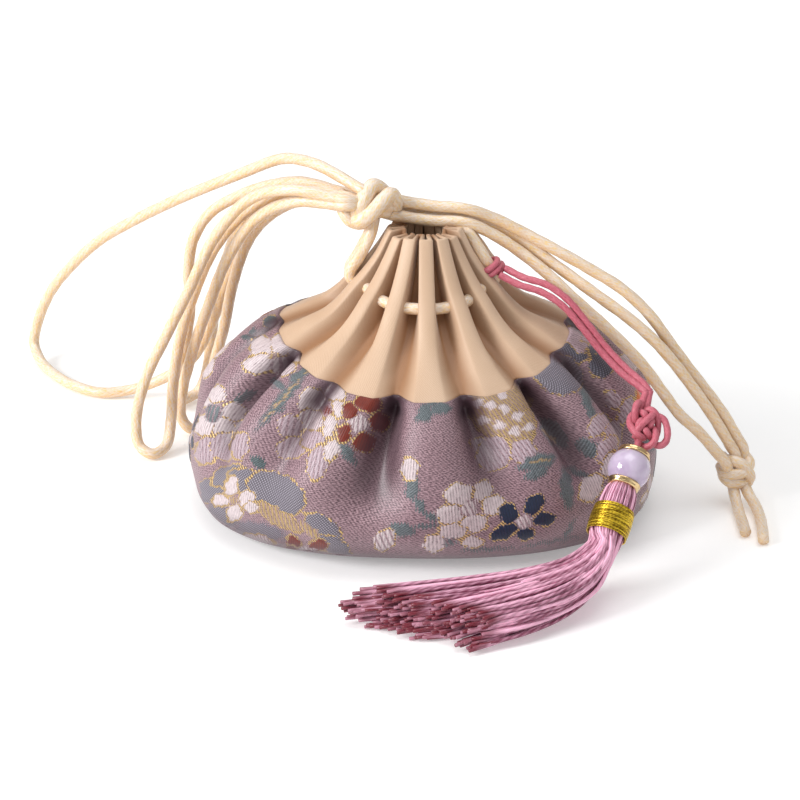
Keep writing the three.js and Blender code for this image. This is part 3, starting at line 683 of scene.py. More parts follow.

# front of the bag, charted as it is seen from the camera: two charts, each with its corner in picture squares
# petal: across, down, half length, half width, turn, colour, then point, weave and outline where they are not the usual
frontCharts = {
    "unitsPerSquare": 5.81,
    "squaresPerMm": 4.8,
    "outlined": 1.16,
    "facing": 0.24,
    "left": {
        "corner": (180, 290),
        "petals": [
            (525, 180, 40, 34, 45, "teal", 0.3, "twill", True), (345, 265, 46, 14, 55, "leaf", 0.8),
            (415, 235, 40, 27, 55, "leaf", 0.5), (375, 622, 88, 28, 25, "teal", 0.6), (475, 330, 62, 56, 0, "white"),
            (600, 312, 62, 60, 0, "white"), (462, 430, 86, 50, 10, "white"),
            (602, 440, 66, 50, 0, "white", 0, "hatch"), (668, 372, 34, 40, 0, "white"),
            (532, 384, 22, 20, 0, "goldwork"), (140, 626, 50, 52, 0, "white"), (215, 606, 46, 46, 0, "white"),
            (315, 706, 62, 46, -10, "white"), (146, 790, 56, 50, 70, "white"), (255, 802, 60, 52, 100, "white"),
            (195, 716, 46, 56, 0, "leaf", 0, "hatch"), (160, 930, 78, 60, 60, "blush"),
            (265, 908, 76, 72, 0, "blush"), (348, 905, 72, 46, 80, "blush"), (455, 1002, 58, 32, -42, "teal", 0.5),
            (600, 630, 226, 30, 49, "leaf", 0.2), (700, 492, 84, 30, 35, "leaf", 0.6),
            (566, 546, 58, 28, -38, "leaf", 0.6), (556, 692, 64, 26, 22, "leaf", 0.6),
            (606, 622, 204, 7, 49, "goldwork", 0.2, "floats"), (765, 645, 70, 64, 60, "white"),
            (905, 600, 56, 44, 0, "white"), (926, 690, 46, 36, 90, "white"),
            (760, 756, 70, 56, -10, "white", 0, "hatch"), (870, 790, 62, 34, 80, "white"),
            (850, 696, 28, 26, 0, "rust", 0, "hatch", False), (640, 792, 64, 60, 0, "blush"),
            (652, 915, 82, 56, 15, "blush"), (772, 872, 62, 52, 0, "blush"), (800, 1002, 92, 54, 78, "blush"),
            (882, 930, 54, 38, 70, "white"), (975, 948, 94, 32, -56, "leaf", 0.5), (1095, 655, 72, 50, -10, "rust"),
            (985, 706, 46, 40, 80, "rust"), (1160, 766, 52, 50, 0, "rust"), (955, 832, 50, 36, 80, "rust"),
            (1070, 886, 56, 52, 0, "rust"), (1040, 776, 56, 46, 0, "white", 0, "hatch", False),
            (170, 1165, 92, 60, 30, "grid"), (285, 1080, 92, 52, 20, "grid"), (420, 1122, 130, 66, -18, "grid"),
            (560, 1180, 156, 100, -26, "grid"), (450, 1400, 170, 50, -10, "grid", 0, "grid", False),
            (840, 1400, 130, 64, -42, "grid", 0.3), (250, 1310, 110, 50, -35, "grid", 0, "grid", False),
            (905, 1492, 100, 44, -35, "grid", 0.3), (560, 1312, 156, 38, -30, "goldwork", 0.3, "hatch", True),
            (760, 1400, 90, 24, -40, "goldwork", 0.3), (300, 1140, 56, 34, 75, "white", 0.2),
            (238, 1222, 46, 32, 10, "white", 0.2), (392, 1212, 48, 40, 30, "white", 0.2),
            (318, 1296, 48, 38, 60, "white", 0.2), (415, 1262, 38, 30, 0, "white", 0.2),
            (312, 1226, 24, 22, 0, "goldwork"), (450, 1455, 84, 34, -10, "white", 0, "hatch"),
            (660, 1462, 40, 30, -30, "rust"), (800, 1484, 52, 34, 10, "rust"), (640, 1512, 44, 24, 10, "rust"),
            (742, 1512, 54, 24, 0, "white", 0, "hatch", False), (1392, 1252, 70, 26, -58, "leaf", 0.3),
            (1455, 1314, 66, 16, -30, "leaf", 0.3), (1350, 1150, 74, 40, 78, "leaf", 0.4),
            (1335, 1040, 62, 44, 85, "white"), (1440, 706, 90, 46, 38, "leaf", 0.3),
            (1424, 1372, 100, 12, 4, "leaf", 0.3), (1292, 1392, 78, 40, -14, "leaf", 0.5),
            (1190, 1452, 62, 48, 48, "white", 0, "hatch"),
        ],
    },
    "right": {
        "corner": (430, 290),
        "petals": [
            (60, 690, 70, 36, 10, "leaf", 0.4), (410, 722, 196, 128, -35, "goldwork", 0, "hatch", True),
            (500, 620, 90, 60, -40, "goldwork", 0, "hatch", True),
            *[(x, y, 34, 26, 20, "white", 0, "floats", False) for x, y in (
                (275, 660), (352, 668), (432, 690), (512, 732), (312, 756), (402, 786), (490, 822), (572, 800),
                (420, 610),
            )],
            (285, 902, 46, 38, -30, "blush"), (372, 950, 94, 84, 45, "blush"), (540, 936, 66, 60, 20, "blush"),
            (165, 1186, 74, 56, 5, "white"), (310, 1166, 54, 46, 80, "white"), (372, 1250, 64, 50, 15, "white"),
            (116, 1310, 64, 56, 0, "white"), (256, 1354, 70, 46, 0, "white"),
            (226, 1270, 46, 46, 0, "white", 0, "hatch", False), (130, 1402, 74, 42, 0, "white"),
            (28, 1470, 56, 46, 0, "white"), (246, 1462, 62, 30, 0, "white", 0.3),
            (112, 1462, 40, 26, 0, "leaf", 0, "hatch"), (340, 1506, 140, 10, 3, "leaf", 0.3),
            (455, 1300, 62, 48, 108, "navy", 0.2), (606, 1246, 66, 44, 48, "navy", 0.4),
            (662, 1330, 60, 38, 6, "navy", 0.4), (430, 1406, 78, 38, 24, "navy", 0.4),
            (556, 1416, 48, 36, 0, "navy", 0.2), (546, 1350, 46, 40, 0, "white", 0, "hatch", False),
            (720, 830, 116, 54, -48, "leaf", 0.3), (625, 1002, 120, 46, 16, "leaf", 0.4),
            (618, 1064, 84, 34, 25, "leaf", 0.5), (794, 1156, 132, 38, -82, "leaf", 0.4),
            (920, 918, 92, 48, -28, "leaf", 0.4), (915, 652, 116, 30, -70, "leaf", 0.4),
            (860, 1062, 96, 20, -25, "leaf", 0.4), (690, 850, 60, 8, -48, "goldwork", 0.4, "floats"),
            (640, 990, 80, 6, 10, "goldwork", 0.4, "floats"), (1010, 130, 130, 66, -36, "slate"),
            (1095, 285, 80, 52, -40, "slate"), (800, 165, 60, 56, 0, "slate"), (940, 330, 66, 64, 0, "slate"),
            (992, 440, 62, 64, 0, "slate"), (790, 352, 116, 72, -10, "slate"), (745, 490, 128, 100, -22, "grid"),
            (858, 290, 76, 50, -62, "blush", 0.4), (925, 270, 52, 28, 30, "blush", 0.4),
            (1062, 640, 62, 38, -58, "blush", 0.3), (980, 786, 74, 46, 52, "blush", 0.3),
            (1066, 826, 66, 46, 80, "blush", 0.3), (1140, 700, 80, 36, 66, "blush", 0.3),
            (1030, 932, 84, 52, 62, "blush", 0.3), (1235, 622, 50, 38, 90, "orange"),
            (1226, 490, 32, 30, 0, "orange"), (1322, 650, 34, 24, 90, "orange"), (1180, 226, 46, 26, -35, "orange"),
            (935, 1150, 80, 54, 58, "white"), (1040, 1012, 66, 34, 70, "white"),
            (700, 1462, 160, 8, 10, "leaf", 0.3), (805, 1400, 66, 14, 60, "leaf", 0.3),
        ],
    },
}

# millimetres that a chart reaches from its middle
chartReach = 22

# where the other charts lie: degrees round from the front, share of the height, turn
flowerPlaces = [
    ("navyBlossom", -84, 0.4, 20), ("whiteBlossom", -104, 0.7, 15), ("gridPetals", -104, 0.26, 10),
    ("orangeBlossom", 98, 0.53, 0), ("leafSpray", 82, 0.4, 40), ("gridOval", 104, 0.93, 20),
    ("leafLong", 84, 0.2, 60), ("smallWhite", 70, 0.2, 0), ("leafPair", -88, 0.9, 40),
    ("rustBlossom", -112, 0.93, 30), ("whiteRound", 88, 0.72, 10),
    # the repeat on the back
    ("stem", 130, 0.85, 10), ("leafPair", 118, 0.78, 0), ("blushFan", 146, 0.76, 0), ("whiteBlossom", 142, 0.91, 0),
    ("rustBlossom", 157, 0.9, 0), ("whiteRound", 112, 0.62, 0), ("gridPetals", 134, 0.42, 0),
    ("smallWhite", 127, 0.33, 0), ("rustBlossom", 154, 0.16, 20), ("bud", 177, 0.7, 0), ("lyingBud", 172, 0.27, 0),
    ("seamLeaf", 182, 0.97, 0), ("goldFan", 205, 0.91, 0), ("whiteBlossom", 183, 0.26, 35),
    ("whiteRound", 189, 0.46, 0), ("navyBlossom", 202, 0.37, 0), ("leafSpray", 216, 0.65, 0),
    ("gridOval", 232, 0.95, 0), ("zigPetals", 238, 0.7, 0), ("whiteRound", 225, 0.42, 30),
    ("leafLong", 214, 0.2, 85), ("orangeBlossom", 245, 0.42, 0), ("leafLong", 246, 0.2, 40),
    ("leafPair", 160, 0.5, 60),
]


def pictureSquares(points):
    # where points fall in the picture, counted in its squares
    tilt = math.radians(photoView["elevation"])
    back = np.array([0, -math.cos(tilt), math.sin(tilt)])
    above = np.array([0, math.sin(tilt), math.cos(tilt)])
    away = points - (np.array(photoView["target"]) + back * photoView["distance"])
    half = photoView["squares"] / 2
    scale = photoView["lens"] / photoView["sensor"] * photoView["squares"] / -(away @ back)
    return half + away[:, 0] * scale, half - (away @ above) * scale


def petalInside(shape, x, y):
    # millimetres inside the petal's edge, below 0 outside it
    c, s = math.cos(shape["turn"]), math.sin(shape["turn"])
    u = (x - shape["x"]) * c + (y - shape["y"]) * s
    v = (y - shape["y"]) * c - (x - shape["x"]) * s
    long, wide = shape["long"], shape["wide"]
    rounded = (1 - np.sqrt((u / long) ** 2 + (v / wide) ** 2)) * min(long, wide)
    lens = wide * (1 - (u / long) ** 2) - np.abs(v)
    return (1 - shape["point"]) * rounded + shape["point"] * np.minimum(lens, (long - np.abs(u)) * 0.8)


def flowerLayers(angle, share, cloth, out):
    place = bagSmooth(angle, share)
    count = len(place)
    inside = np.full(count, -farOff)
    edge = np.full(count, farOff)
    nearest = np.full(count, -farOff)
    colour = np.zeros((count, 3))
    style = np.zeros((count, 3))
    weaves = {"floats": (0, 0, 0), "hatch": (1, 0, 0), "grid": (0, 1, 0), "twill": (0, 0, 1)}

    def layPetal(shape, x, y, close):
        depth = petalInside(shape, x, y)
        covered = depth > 0
        paint = np.array(linear(*flowerThreads[shape["colour"]][0])[:3])
        own = np.abs(depth) if shape["edge"] else np.full(len(close), farOff)
        edge[close] = np.where(covered, own, np.minimum(edge[close], own))
        takes = covered | ((inside[close] <= 0) & (depth > nearest[close]))
        colour[close[takes]] = paint
        style[close[takes]] = weaves[shape["weave"]]
        nearest[close] = np.maximum(nearest[close], depth)
        inside[close] = np.where(covered, depth, inside[close])
        still = ~covered & (inside[close] <= 0)
        inside[close[still]] = np.maximum(inside[close[still]], depth[still])

    for chart, degrees, height, turn in flowerPlaces:
        spot = np.array([math.radians(degrees), height])
        centre = bagSmooth(spot[:1], spot[1:])[0]
        right = bagSmooth(spot[:1] + 0.01, spot[1:])[0] - centre
        right /= np.linalg.norm(right)
        up = centre - bagSmooth(spot[:1], spot[1:] - 0.01)[0]
        up -= np.dot(up, right) * right
        up /= np.linalg.norm(up)
        close = np.flatnonzero(np.linalg.norm(place - centre, axis=1) < chartReach)
        offset = place[close] - centre
        x, y = offset @ right, offset @ up
        c, s = math.cos(math.radians(turn)), math.sin(math.radians(turn))
        x, y = x * c + y * s, y * c - x * s
        for shape in flowerCharts[chart]:
            layPetal(shape, x, y, close)
    seen = np.flatnonzero(out @ np.array(viewWay) > frontCharts["facing"])
    across, down = pictureSquares(cloth[seen])
    perMm = frontCharts["unitsPerSquare"] * frontCharts["squaresPerMm"]
    for part in ("left", "right"):
        corner = frontCharts[part]["corner"]
        x = (across - corner[0]) * frontCharts["unitsPerSquare"] / perMm
        y = -(down - corner[1]) * frontCharts["unitsPerSquare"] / perMm
        # edges wobble as woven ones do
        x, y = (
            x + 0.2 * np.sin(2.3 * y + 1.1 * np.sin(1.3 * x)) + 0.12 * np.sin(5.1 * y - 1.7 * x),
            y + 0.18 * np.sin(2.1 * x + 0.9 * np.sin(1.6 * y)) + 0.12 * np.sin(4.7 * x + 1.3 * y),
        )
        for px, py, long, wide, *thread in frontCharts[part]["petals"]:
            shape = petal(px / perMm, -py / perMm, long, wide, *thread)
            grown = (frontCharts["outlined"] if shape["edge"] else 1) / perMm
            shape.update(long=long * grown, wide=wide * grown)
            near = np.hypot(x - shape["x"], y - shape["y"]) < long / perMm + 2.5
            layPetal(shape, x[near], y[near], seen[near])
    return inside, edge, colour, style


def bagPart():
    columns, rows = brocadeBag["columns"], brocadeBag["rows"]
    trial = np.linspace(0, 1, 400)
    profile = np.stack([smoothTable(trial, bagTable[:, 0], bagTable[:, 2]), trial * brocadeBag["seamHeight"]], -1)
    climb = runAlong(profile)
    shares = np.interp(np.linspace(0, climb[-1], rows), climb, trial)
    angles = np.arange(columns) * turnFull / columns
    angle, share = [grid.ravel() for grid in np.meshgrid(angles, shares)]
    smooth = bagSmooth(angle, share)
    step = brocadeBag["slopeStep"]
    ahead = bagSmooth(angle + step, share) - smooth
    upward = smooth - bagSmooth(angle, np.maximum(share - step, 0))
    low = share < brocadeBag["lowest"]
    upward[low] = bagSmooth(angle[low], share[low] + step) - smooth[low]
    out = np.cross(ahead, upward)
    out /= np.linalg.norm(out, axis=1, keepdims=True)
    # gathers pull straight in toward the middle, as the drawn cloth does
    inward = smooth * (1, 1, 0)
    inward /= np.linalg.norm(inward, axis=1, keepdims=True)
    gather = bagGather(angle, share)
    cloth = smooth - inward * gather[:, None]
    inside, edge, colour, style = flowerLayers(angle, share, cloth, out)
    raised = brocadeBag["raise"] * np.clip(inside / 0.5, 0, 1)
    cloth = cloth + out * raised[:, None]
    cloth[:, 2] = np.maximum(cloth[:, 2], 0)
    outer = cloth.reshape(rows, columns, 3)
    # rolled upper edge, then the inside of the wall
    inwardTop = inward.reshape(rows, columns, 3)[-1]
    stack = [outer]
    for reach, drop in brocadeBag["rolls"]:
        stack.append((outer[-1] - inwardTop * reach - np.array([0, 0, drop]))[None])
    for height in brocadeBag["lining"]:
        lining = outer[int(rows * height)] - inwardTop * brocadeBag["wall"]
        lining[:, 2] = np.maximum(lining[:, 2], brocadeBag["wall"])
        stack.append(lining[None])
    points = np.concatenate(stack)
    total = len(points)
    points = points.reshape(-1, 3)
    extra = (total - rows) * columns
    centres = np.array([[0, 0, 0], [0, 0, brocadeBag["wall"]]], float)
    points = np.vstack([points, centres])
    floorFan = fanFaces(total * columns, 0, columns, True)
    liningFan = fanFaces(total * columns + 1, (total - 1) * columns, columns)
    climbed = np.interp(shares, trial, climb)
    climbed = np.concatenate([climbed, climbed[-1] + np.arange(1, total - rows + 1)])
    girth = brocadeBag["girth"]
    fanLay = np.stack([np.stack([np.arange(columns) * girth / columns] * 3, -1), np.zeros((columns, 3))], -1)
    lays = [gridLay(lambda a, b: b * girth / columns, lambda a, b: climbed[a], total, columns), fanLay, fanLay]

    def padded(value, fill):
        # the rolled edge keeps the values of the last row
        tail = np.full((extra + 2,) + value.shape[1:], fill, float)
        rolled = np.tile(value[-columns:], (len(brocadeBag["rolls"]),) + (1,) * (value.ndim - 1))
        tail[:len(rolled)] = rolled
        return np.concatenate([value, tail])

    # painted shade: darker in the gathers, in the valleys under the seam and toward the base, stored for the brocade
    fromValley = np.abs(pleatPhase(angle) % 1 - 0.5) * 2
    wide, start, span = brocadeBag["valley"]
    valley = np.exp(-(fromValley / wide) ** 2) * np.clip((share - start) / span, 0, 1)
    depth = np.maximum(np.clip(gather / brocadeBag["fullDepth"], 0, 1), brocadeBag["valleyShade"] * valley)
    base = brocadeBag["baseHeight"]
    depth = depth + brocadeBag["baseShade"] * np.clip((base - share) / base, 0, 1)
    values = {
        "paintedShade": padded(depth, 0.0),
        "inside": padded(inside, -farOff),
        "edge": padded(edge, farOff),
        "paint": padded(colour, 0.3),
        "style": padded(style, 0.0),
    }
    return {"points": points, "faces": [gridFaces(total, columns), floorFan, liningFan], "lays": lays, "values": values}


# brocade: colours, width of the gold line, and its weave in millimetres
brocadeCloth = {
    "groundPale": linear(178, 146, 153),
    "groundDeep": linear(84, 60, 67),
    "gold": linear(224, 190, 124),
    "goldDark": linear(110, 84, 64),
    "blotch": linear(140, 114, 126),
    # colour of the painted shade in the gathers and toward the base
    "paintedShade": linear(66, 45, 53),
    "edgeWidth": 0.178,
    # ground: height and length of a float, lean of the rows, step from row to row, size of the dashes
    "row": 0.29,
    "float": 0.86,
    "lean": 0.22,
    "stagger": 0.36,
    "dashes": (1.9, 5.8),
    # threads of the motifs: pitch of upright floats, hatching, net, leaf twill and gold dashes
    "uprightPitch": 0.52,
    "hatchPitch": 0.95,
    "netPitch": 0.62,
    "leafPitch": 0.52,
    "goldPitch": 0.7,
}


def brocadeMaterial():
    material, tree, shader = newMaterial("brocade", {
        "Sheen Weight": 0.14, "Sheen Roughness": 0.35, "Sheen Tint": (1.0, 0.9, 0.95, 1.0),
    })
    lay, across, up = layOf(tree)
    speck = grain(tree, lay, 3.0, 3.0)
    blotch = grain(tree, lay, 0.06, 2.0)
    drift = times(tree, minus(tree, speck, 0.5), 0.5)
    # short floats of the ground, each row a little further along than the one below
    rise = timesPlus(tree, across, brocadeCloth["lean"], plus(tree, up, times(tree, drift, 0.3)))
    row = sums(tree, "FLOOR", sums(tree, "DIVIDE", rise, brocadeCloth["row"]))
    stepped = timesPlus(tree, row, brocadeCloth["stagger"] * brocadeCloth["float"], plus(tree, across, drift))
    shortFloat = ripple(tree, stepped, brocadeCloth["float"])
    ridge = ripple(tree, plus(tree, rise, -0.25 * brocadeCloth["row"]), brocadeCloth["row"])
    thread = times(tree, between(tree, shortFloat, 0.15, 0.75), timesPlus(tree, ridge, 0.75, 0.25))
    wide, tall = brocadeCloth["dashes"]
    slant = paired(tree, times(tree, across, wide), times(tree, rise, tall))
    dashes = between(tree, grain(tree, slant, 1.0, 1.0), 0.34, 0.66)
    thread = timesPlus(tree, thread, 0.5, times(tree, dashes, 0.6))
    ground = blend(tree, between(tree, thread, 0.02, 0.92), brocadeCloth["groundDeep"], brocadeCloth["groundPale"])
    ground = blend(tree, times(tree, blotch, 0.25), ground, brocadeCloth["blotch"])
    # motif threads: upright floats, open hatching, a grid and leaf twill
    upright = ripple(tree, plus(tree, across, drift), brocadeCloth["uprightPitch"])
    hatching = ripple(tree, timesPlus(tree, up, 0.3, across), brocadeCloth["hatchPitch"])
    warp = ripple(tree, plus(tree, across, up), brocadeCloth["netPitch"])
    weft = ripple(tree, minus(tree, across, up), brocadeCloth["netPitch"])
    netting = times(tree, warp, weft)
    leafLine = ripple(tree, timesPlus(tree, up, -0.9, across), brocadeCloth["leafPitch"])
    style = addNode(tree, "ShaderNodeSeparateColor", {0: stored(tree, "style", "Color")})
    hatch, grid, leaf = style.outputs[0], style.outputs[1], style.outputs[2]
    paint = stored(tree, "paint", "Color")
    streak = grain(tree, stretched(tree, lay, (3.4, 0.8, 1.0)), 1.0, 1.0)
    shade = timesPlus(tree, upright, 0.36, timesPlus(tree, streak, 0.7, 0.44))
    plain = minus(tree, 1.0, plus(tree, grid, leaf, clamp=True))
    gridShade = timesPlus(tree, netting, 1.8, 0.42)
    leafShade = timesPlus(tree, leafLine, 0.7, timesPlus(tree, dashes, 0.6, 0.3))
    shade = times(tree, shade, plain)
    for kind, own in ((grid, gridShade), (leaf, leafShade)):
        shade = plus(tree, shade, times(tree, kind, own))
    grey = addNode(tree, "ShaderNodeCombineColor", {0: shade, 1: shade, 2: shade}).outputs[0]
    threadColour = blend(tree, 1.0, paint, grey, "MULTIPLY")
    # stepped outline as a loom leaves it
    jag = timesPlus(tree, minus(tree, upright, 0.5), 0.6, times(tree, drift, 1.1))
    cover = between(tree, plus(tree, stored(tree, "inside"), jag), -0.05, 0.06)
    gaps = times(tree, hatch, between(tree, hatching, 0.62, 0.74))
    parted = minus(tree, 1.0, between(tree, timesPlus(tree, streak, 1.3, upright), 0.42, 0.78))
    # dark floats lie closer than pale ones
    pale = between(tree, addNode(tree, "ShaderNodeRGBToBW", {0: paint}).outputs[0], 0.0, 0.3)
    parted = times(tree, parted, times(tree, pale, 0.8))
    gaps = plus(tree, gaps, times(tree, plain, parted), clamp=True)
    cover = times(tree, cover, minus(tree, 1.0, times(tree, gaps, 0.8)))
    colour = blend(tree, cover, ground, threadColour)
    dash = ripple(tree, timesPlus(tree, up, 0.9, plus(tree, across, drift)), brocadeCloth["goldPitch"])
    uneven = minus(tree, grain(tree, lay, 1.9, 1.0), 0.5)
    rim = timesPlus(tree, uneven, 0.32, stored(tree, "edge"))
    width = brocadeCloth["edgeWidth"]
    line = minus(tree, 1.0, between(tree, rim, width * 0.75, width * 1.25))
    goldTone = blend(tree, between(tree, dash, 0.3, 0.8), brocadeCloth["goldDark"], brocadeCloth["gold"])
    colour = blend(tree, times(tree, line, 0.92), colour, goldTone)
    # painted shade: the cloth is darkened in the gathers, in the valleys under the seam and toward the base
    deep = between(tree, stored(tree, "paintedShade"), 0.22, 1.0)
    deepest = between(tree, stored(tree, "paintedShade"), 0.9, 1.5)
    paintedShadeWeight = timesPlus(tree, deepest, 0.28, times(tree, deep, 0.7))
    colour = blend(tree, paintedShadeWeight, colour, brocadeCloth["paintedShade"])
    tree.links.new(colour, shader.inputs["Base Color"])
    tree.links.new(times(tree, line, times(tree, dash, 0.55)), shader.inputs["Metallic"])
    tree.links.new(timesPlus(tree, cover, 0.04, 0.42), shader.inputs["Roughness"])
    groundHeight = times(tree, thread, minus(tree, 1.0, cover))
    motifHeight = times(tree, timesPlus(tree, shade, 1.4, 0.3), cover)
    height = plus(tree, plus(tree, groundHeight, motifHeight), times(tree, line, dash))
    height = times(tree, height, minus(tree, 1.0, deep))
    bumped(tree, shader, height, 0.45, 0.12)
    return material


bag = makePiece("brocade_bag", bagPart(), brocadeMaterial(), ["pouch_body"])
print("brocade bag:", len(bag.data.polygons), "faces")

# satin collar: height, side rise, ridge radius, fold, ridge share, valley share
satinCollar = {
    "wall": 0.85,
    "rows": 96,
    "ragged": 0.45,
    "sections": [
        (34.2, 4.9, 30.2, 2.6, 0.42, 0.08), (35.0, 4.85, 30, 2.7, 0.42, 0.08), (35.9, 4.7, 28.9, 2.9, 0.41, 0.1),
        (38.6, 4.1, 25.4, 3.9, 0.39, 0.16), (42.2, 2.6, 21, 5.3, 0.39, 0.22), (45.3, 1.9, 18.1, 6.1, 0.42, 0.27),
        (47.9, 1.6, 16, 6.2, 0.46, 0.3), (51.2, 1.2, 13.2, 5.2, 0.53, 0.29), (55.5, 0.5, 10.4, 4.2, 0.63, 0.24),
        (60.4, 0, 7.8, 3, 0.76, 0.16),
    ],
    # across half a pleat: place on the ridge, wall or valley, and share of the fold
    "ridge": [(0, 0), (0.4, 0.01), (0.75, 0.036), (0.95, 0.072)],
    "side": [(0.05, 0.11), (0.15, 0.19), (0.35, 0.37), (0.6, 0.64), (0.82, 0.86), (0.95, 0.95)],
    "valley": [(0.1, 0.98), (0.4, 1), (0.7, 1), (1, 1)],
    # rounded edge at the mouth: share of the way in, lift
    "rim": [(0.12, 0.16), (0.5, 0.26), (0.88, 0.16)],
    "dark": linear(195, 162, 133),
    "pale": linear(214, 185, 158),
    # painted shade laid into the pleat valleys
    "shadow": linear(146, 100, 62),
}


def halfPleat(ridge, valley):
    ridgeEnd, valleyStart = ridge / 2, 0.5 - valley / 2
    place = [share * ridgeEnd for share, drop in satinCollar["ridge"]]
    place += [ridgeEnd + share * (valleyStart - ridgeEnd) for share, drop in satinCollar["side"]]
    place += [valleyStart + share * (0.5 - valleyStart) for share, drop in satinCollar["valley"]]
    drops = [drop for part in ("ridge", "side", "valley") for share, drop in satinCollar[part]]
    return np.array(place), np.array(drops)


def collarRing(height, rise, wide, fold, ridge, valley, seam, ragged=0.0):
    # columns keep to the creases; near the seam the folds follow the gathers of the bag
    place, drop = halfPleat(ridge, valley)
    ring = []
    for k in range(pleatCount):
        crest = ridges[k]
        trough = (crest + ridges[k + 1]) / 2
        before = ridges[k - 1] if k else ridges[pleatCount - 1] - turnFull
        lastTrough = (before + crest) / 2
        falling = crest - place[::-1] * 2 * (crest - lastTrough)
        angle = np.concatenate([falling, crest + place[1:] * 2 * (trough - crest)])[:-1]
        amount = np.concatenate([drop[::-1], drop[1:]])[:-1] * fold
        gathered = bagGather(angle, np.full(len(angle), min(height / brocadeBag["seamHeight"], 1.0)))
        radius = wide - amount * (1 - seam) - gathered * seam
        ring.append(outline(angle, radius + 0.45 * seam, radius, height + ragged * math.sin(2.4 * k + 0.6), rise))
    return np.concatenate(ring)


def collarPart():
    setup = satinCollar
    table = np.array(setup["sections"])
    run = np.concatenate([[0], np.cumsum(np.hypot(np.diff(table[:, 0]), np.diff(table[:, 2])))])
    along = np.linspace(0, run[-1], setup["rows"])
    columns = [smoothTable(along, run, table[:, k]) for k in range(6)]
    wall = setup["wall"]
    outer, inner = [], []
    for i in range(len(along)):
        height, rise, wide, fold, ridge, valley = [column[i] for column in columns]
        seam = float(np.clip((run[3] - along[i]) / (run[3] - run[1]), 0, 1)) ** 1.5
        ragged = setup["ragged"] * max(0.0, (along[i] - run[-2]) / (run[-1] - run[-2]))
        outer.append(collarRing(height, rise, wide, fold, ridge, valley, seam, ragged))
        back, front = max(i - 1, 0), min(i + 1, len(along) - 1)
        slant = math.hypot(columns[2][front] - columns[2][back], columns[0][front] - columns[0][back])
        inset = (columns[0][front] - columns[0][back]) / slant
        fall = -(columns[2][front] - columns[2][back]) / slant
        fall *= min(1.0, (len(along) - 1 - i) / 8)
        trough = wide - fold - wall * inset
        slot = max((wide - fold) * pitch * (1 - valley) / 2 - wall, 0.12)
        crest = max(wide * pitch * ridge / 2 - wall, 0.1)
        hollow = wide - wall
        inner.append(collarRing(
            height - wall * fall, rise, hollow, hollow - trough,
            2 * crest / (hollow * pitch), 1 - 2 * slot / (trough * pitch), seam, ragged,
        ))
    count = len(outer[0])
    rim = []
    for share, lift in setup["rim"]:
        rim.append(outer[-1] * (1 - share) + inner[-1] * share + np.array([0, 0, lift]))
    points = np.concatenate(outer + rim + inner[::-1])
    rows = len(points) // count
    climbed = np.concatenate([along, along[-1] + np.array([0.3, 0.6, 0.9]), along[-1] + 1.2 + along])
    middle = np.vstack([outer[len(outer) // 2], outer[len(outer) // 2][:1]])
    girth = runAlong(middle)
    lays = [gridLay(lambda a, b: girth[b], lambda a, b: climbed[a], rows, count)]
    # 1 on the pressed ridges and on the inside, and 0 in the valleys, where the satin is given painted shade
    drop = halfPleat(0.4, 0.3)[1]
    crest = np.tile(np.tile(1 - np.concatenate([drop[::-1], drop[1:]])[:-1], pleatCount), rows)
    crest[(len(outer) + len(rim)) * count:] = 1.0
    return {"points": points, "faces": [gridFaces(rows, count)], "lays": lays, "values": {"crest": crest}}


def satinMaterial():
    material, tree, shader = newMaterial("collarSatin", {
        "Roughness": 0.5, "Sheen Weight": 0.35, "Sheen Roughness": 0.4, "Sheen Tint": (1.0, 0.93, 0.85, 1.0),
    })
    lay, across, up = layOf(tree)
    speck = grain(tree, lay, 3.0, 2.0)
    line = ripple(tree, timesPlus(tree, up, 0.6, timesPlus(tree, speck, 0.35, across)), 0.33)
    blotch = grain(tree, stretched(tree, lay, (0.16, 0.05, 1.0)), 1.0, 2.0)
    tone = timesPlus(tree, line, 0.22, times(tree, blotch, 0.6))
    colour = blend(tree, between(tree, tone, 0.1, 0.75), satinCollar["dark"], satinCollar["pale"])
    # painted shade: the pleat valleys are darkened toward the shadow colour
    valley = times(tree, minus(tree, 1.0, stored(tree, "crest")), 0.9)
    colour = blend(tree, valley, colour, satinCollar["shadow"])
    tree.links.new(colour, shader.inputs["Base Color"])
    bumped(tree, shader, plus(tree, line, times(tree, speck, 0.5)), 0.25, 0.06)
    return material


collar = makePiece("satin_collar", collarPart(), satinMaterial(), ["collar"])
print("satin collar:", len(collar.data.polygons), "faces")

# drawcord ring, and the two ends that come out at the right
drawCord = {
    "radius": 12.4,
    "height": 47.9,
    "rise": 1.6,
    "risers": [
        [(13.2, -1.9, 48.6), (14.4, -1.7, 50.6), (12.3, -1.4, 54.3), (9.8, 0.2, 58), (8.2, 1.8, 59.6), (7, 2.2, 60.6)],
        [(13, 3.2, 48.6), (14.2, 3, 50.6), (12.1, 3.2, 54.2), (9.8, 3.6, 57.5), (8.6, 4.3, 59.4), (7.4, 4.7, 60.6)],
    ],
}


def drawCordPart():
    angle = np.linspace(0, turnFull, 240, endpoint=False)
    ring = outline(angle, drawCord["radius"], drawCord["radius"], drawCord["height"], drawCord["rise"])
    path = evenly(ring, ivoryCord["step"], True)
    return tubePart(path, ivoryCord["thick"] / 2, ivoryCord["sides"], True, ivoryRelief)


makePiece("drawcord_in_pleats", drawCordPart(), ivory, ["draw_cord"])
risersRight = makePiece(
    "risers_at_right", joinParts([ivoryTube(route) for route in drawCord["risers"]]), ivory,
    ["riser_right_front", "riser_right_back"],
)


def facing(centre, way, up=(0, 0, 1)):
    # frame of a knot that faces the given way
    forward = np.array(way, float) / np.linalg.norm(way)
    right = np.cross(up, forward)
    right /= np.linalg.norm(right)
    level = np.cross(forward, right)
    return lambda points: np.array(centre, float) + np.array(points, float) @ np.stack([right, level, forward])


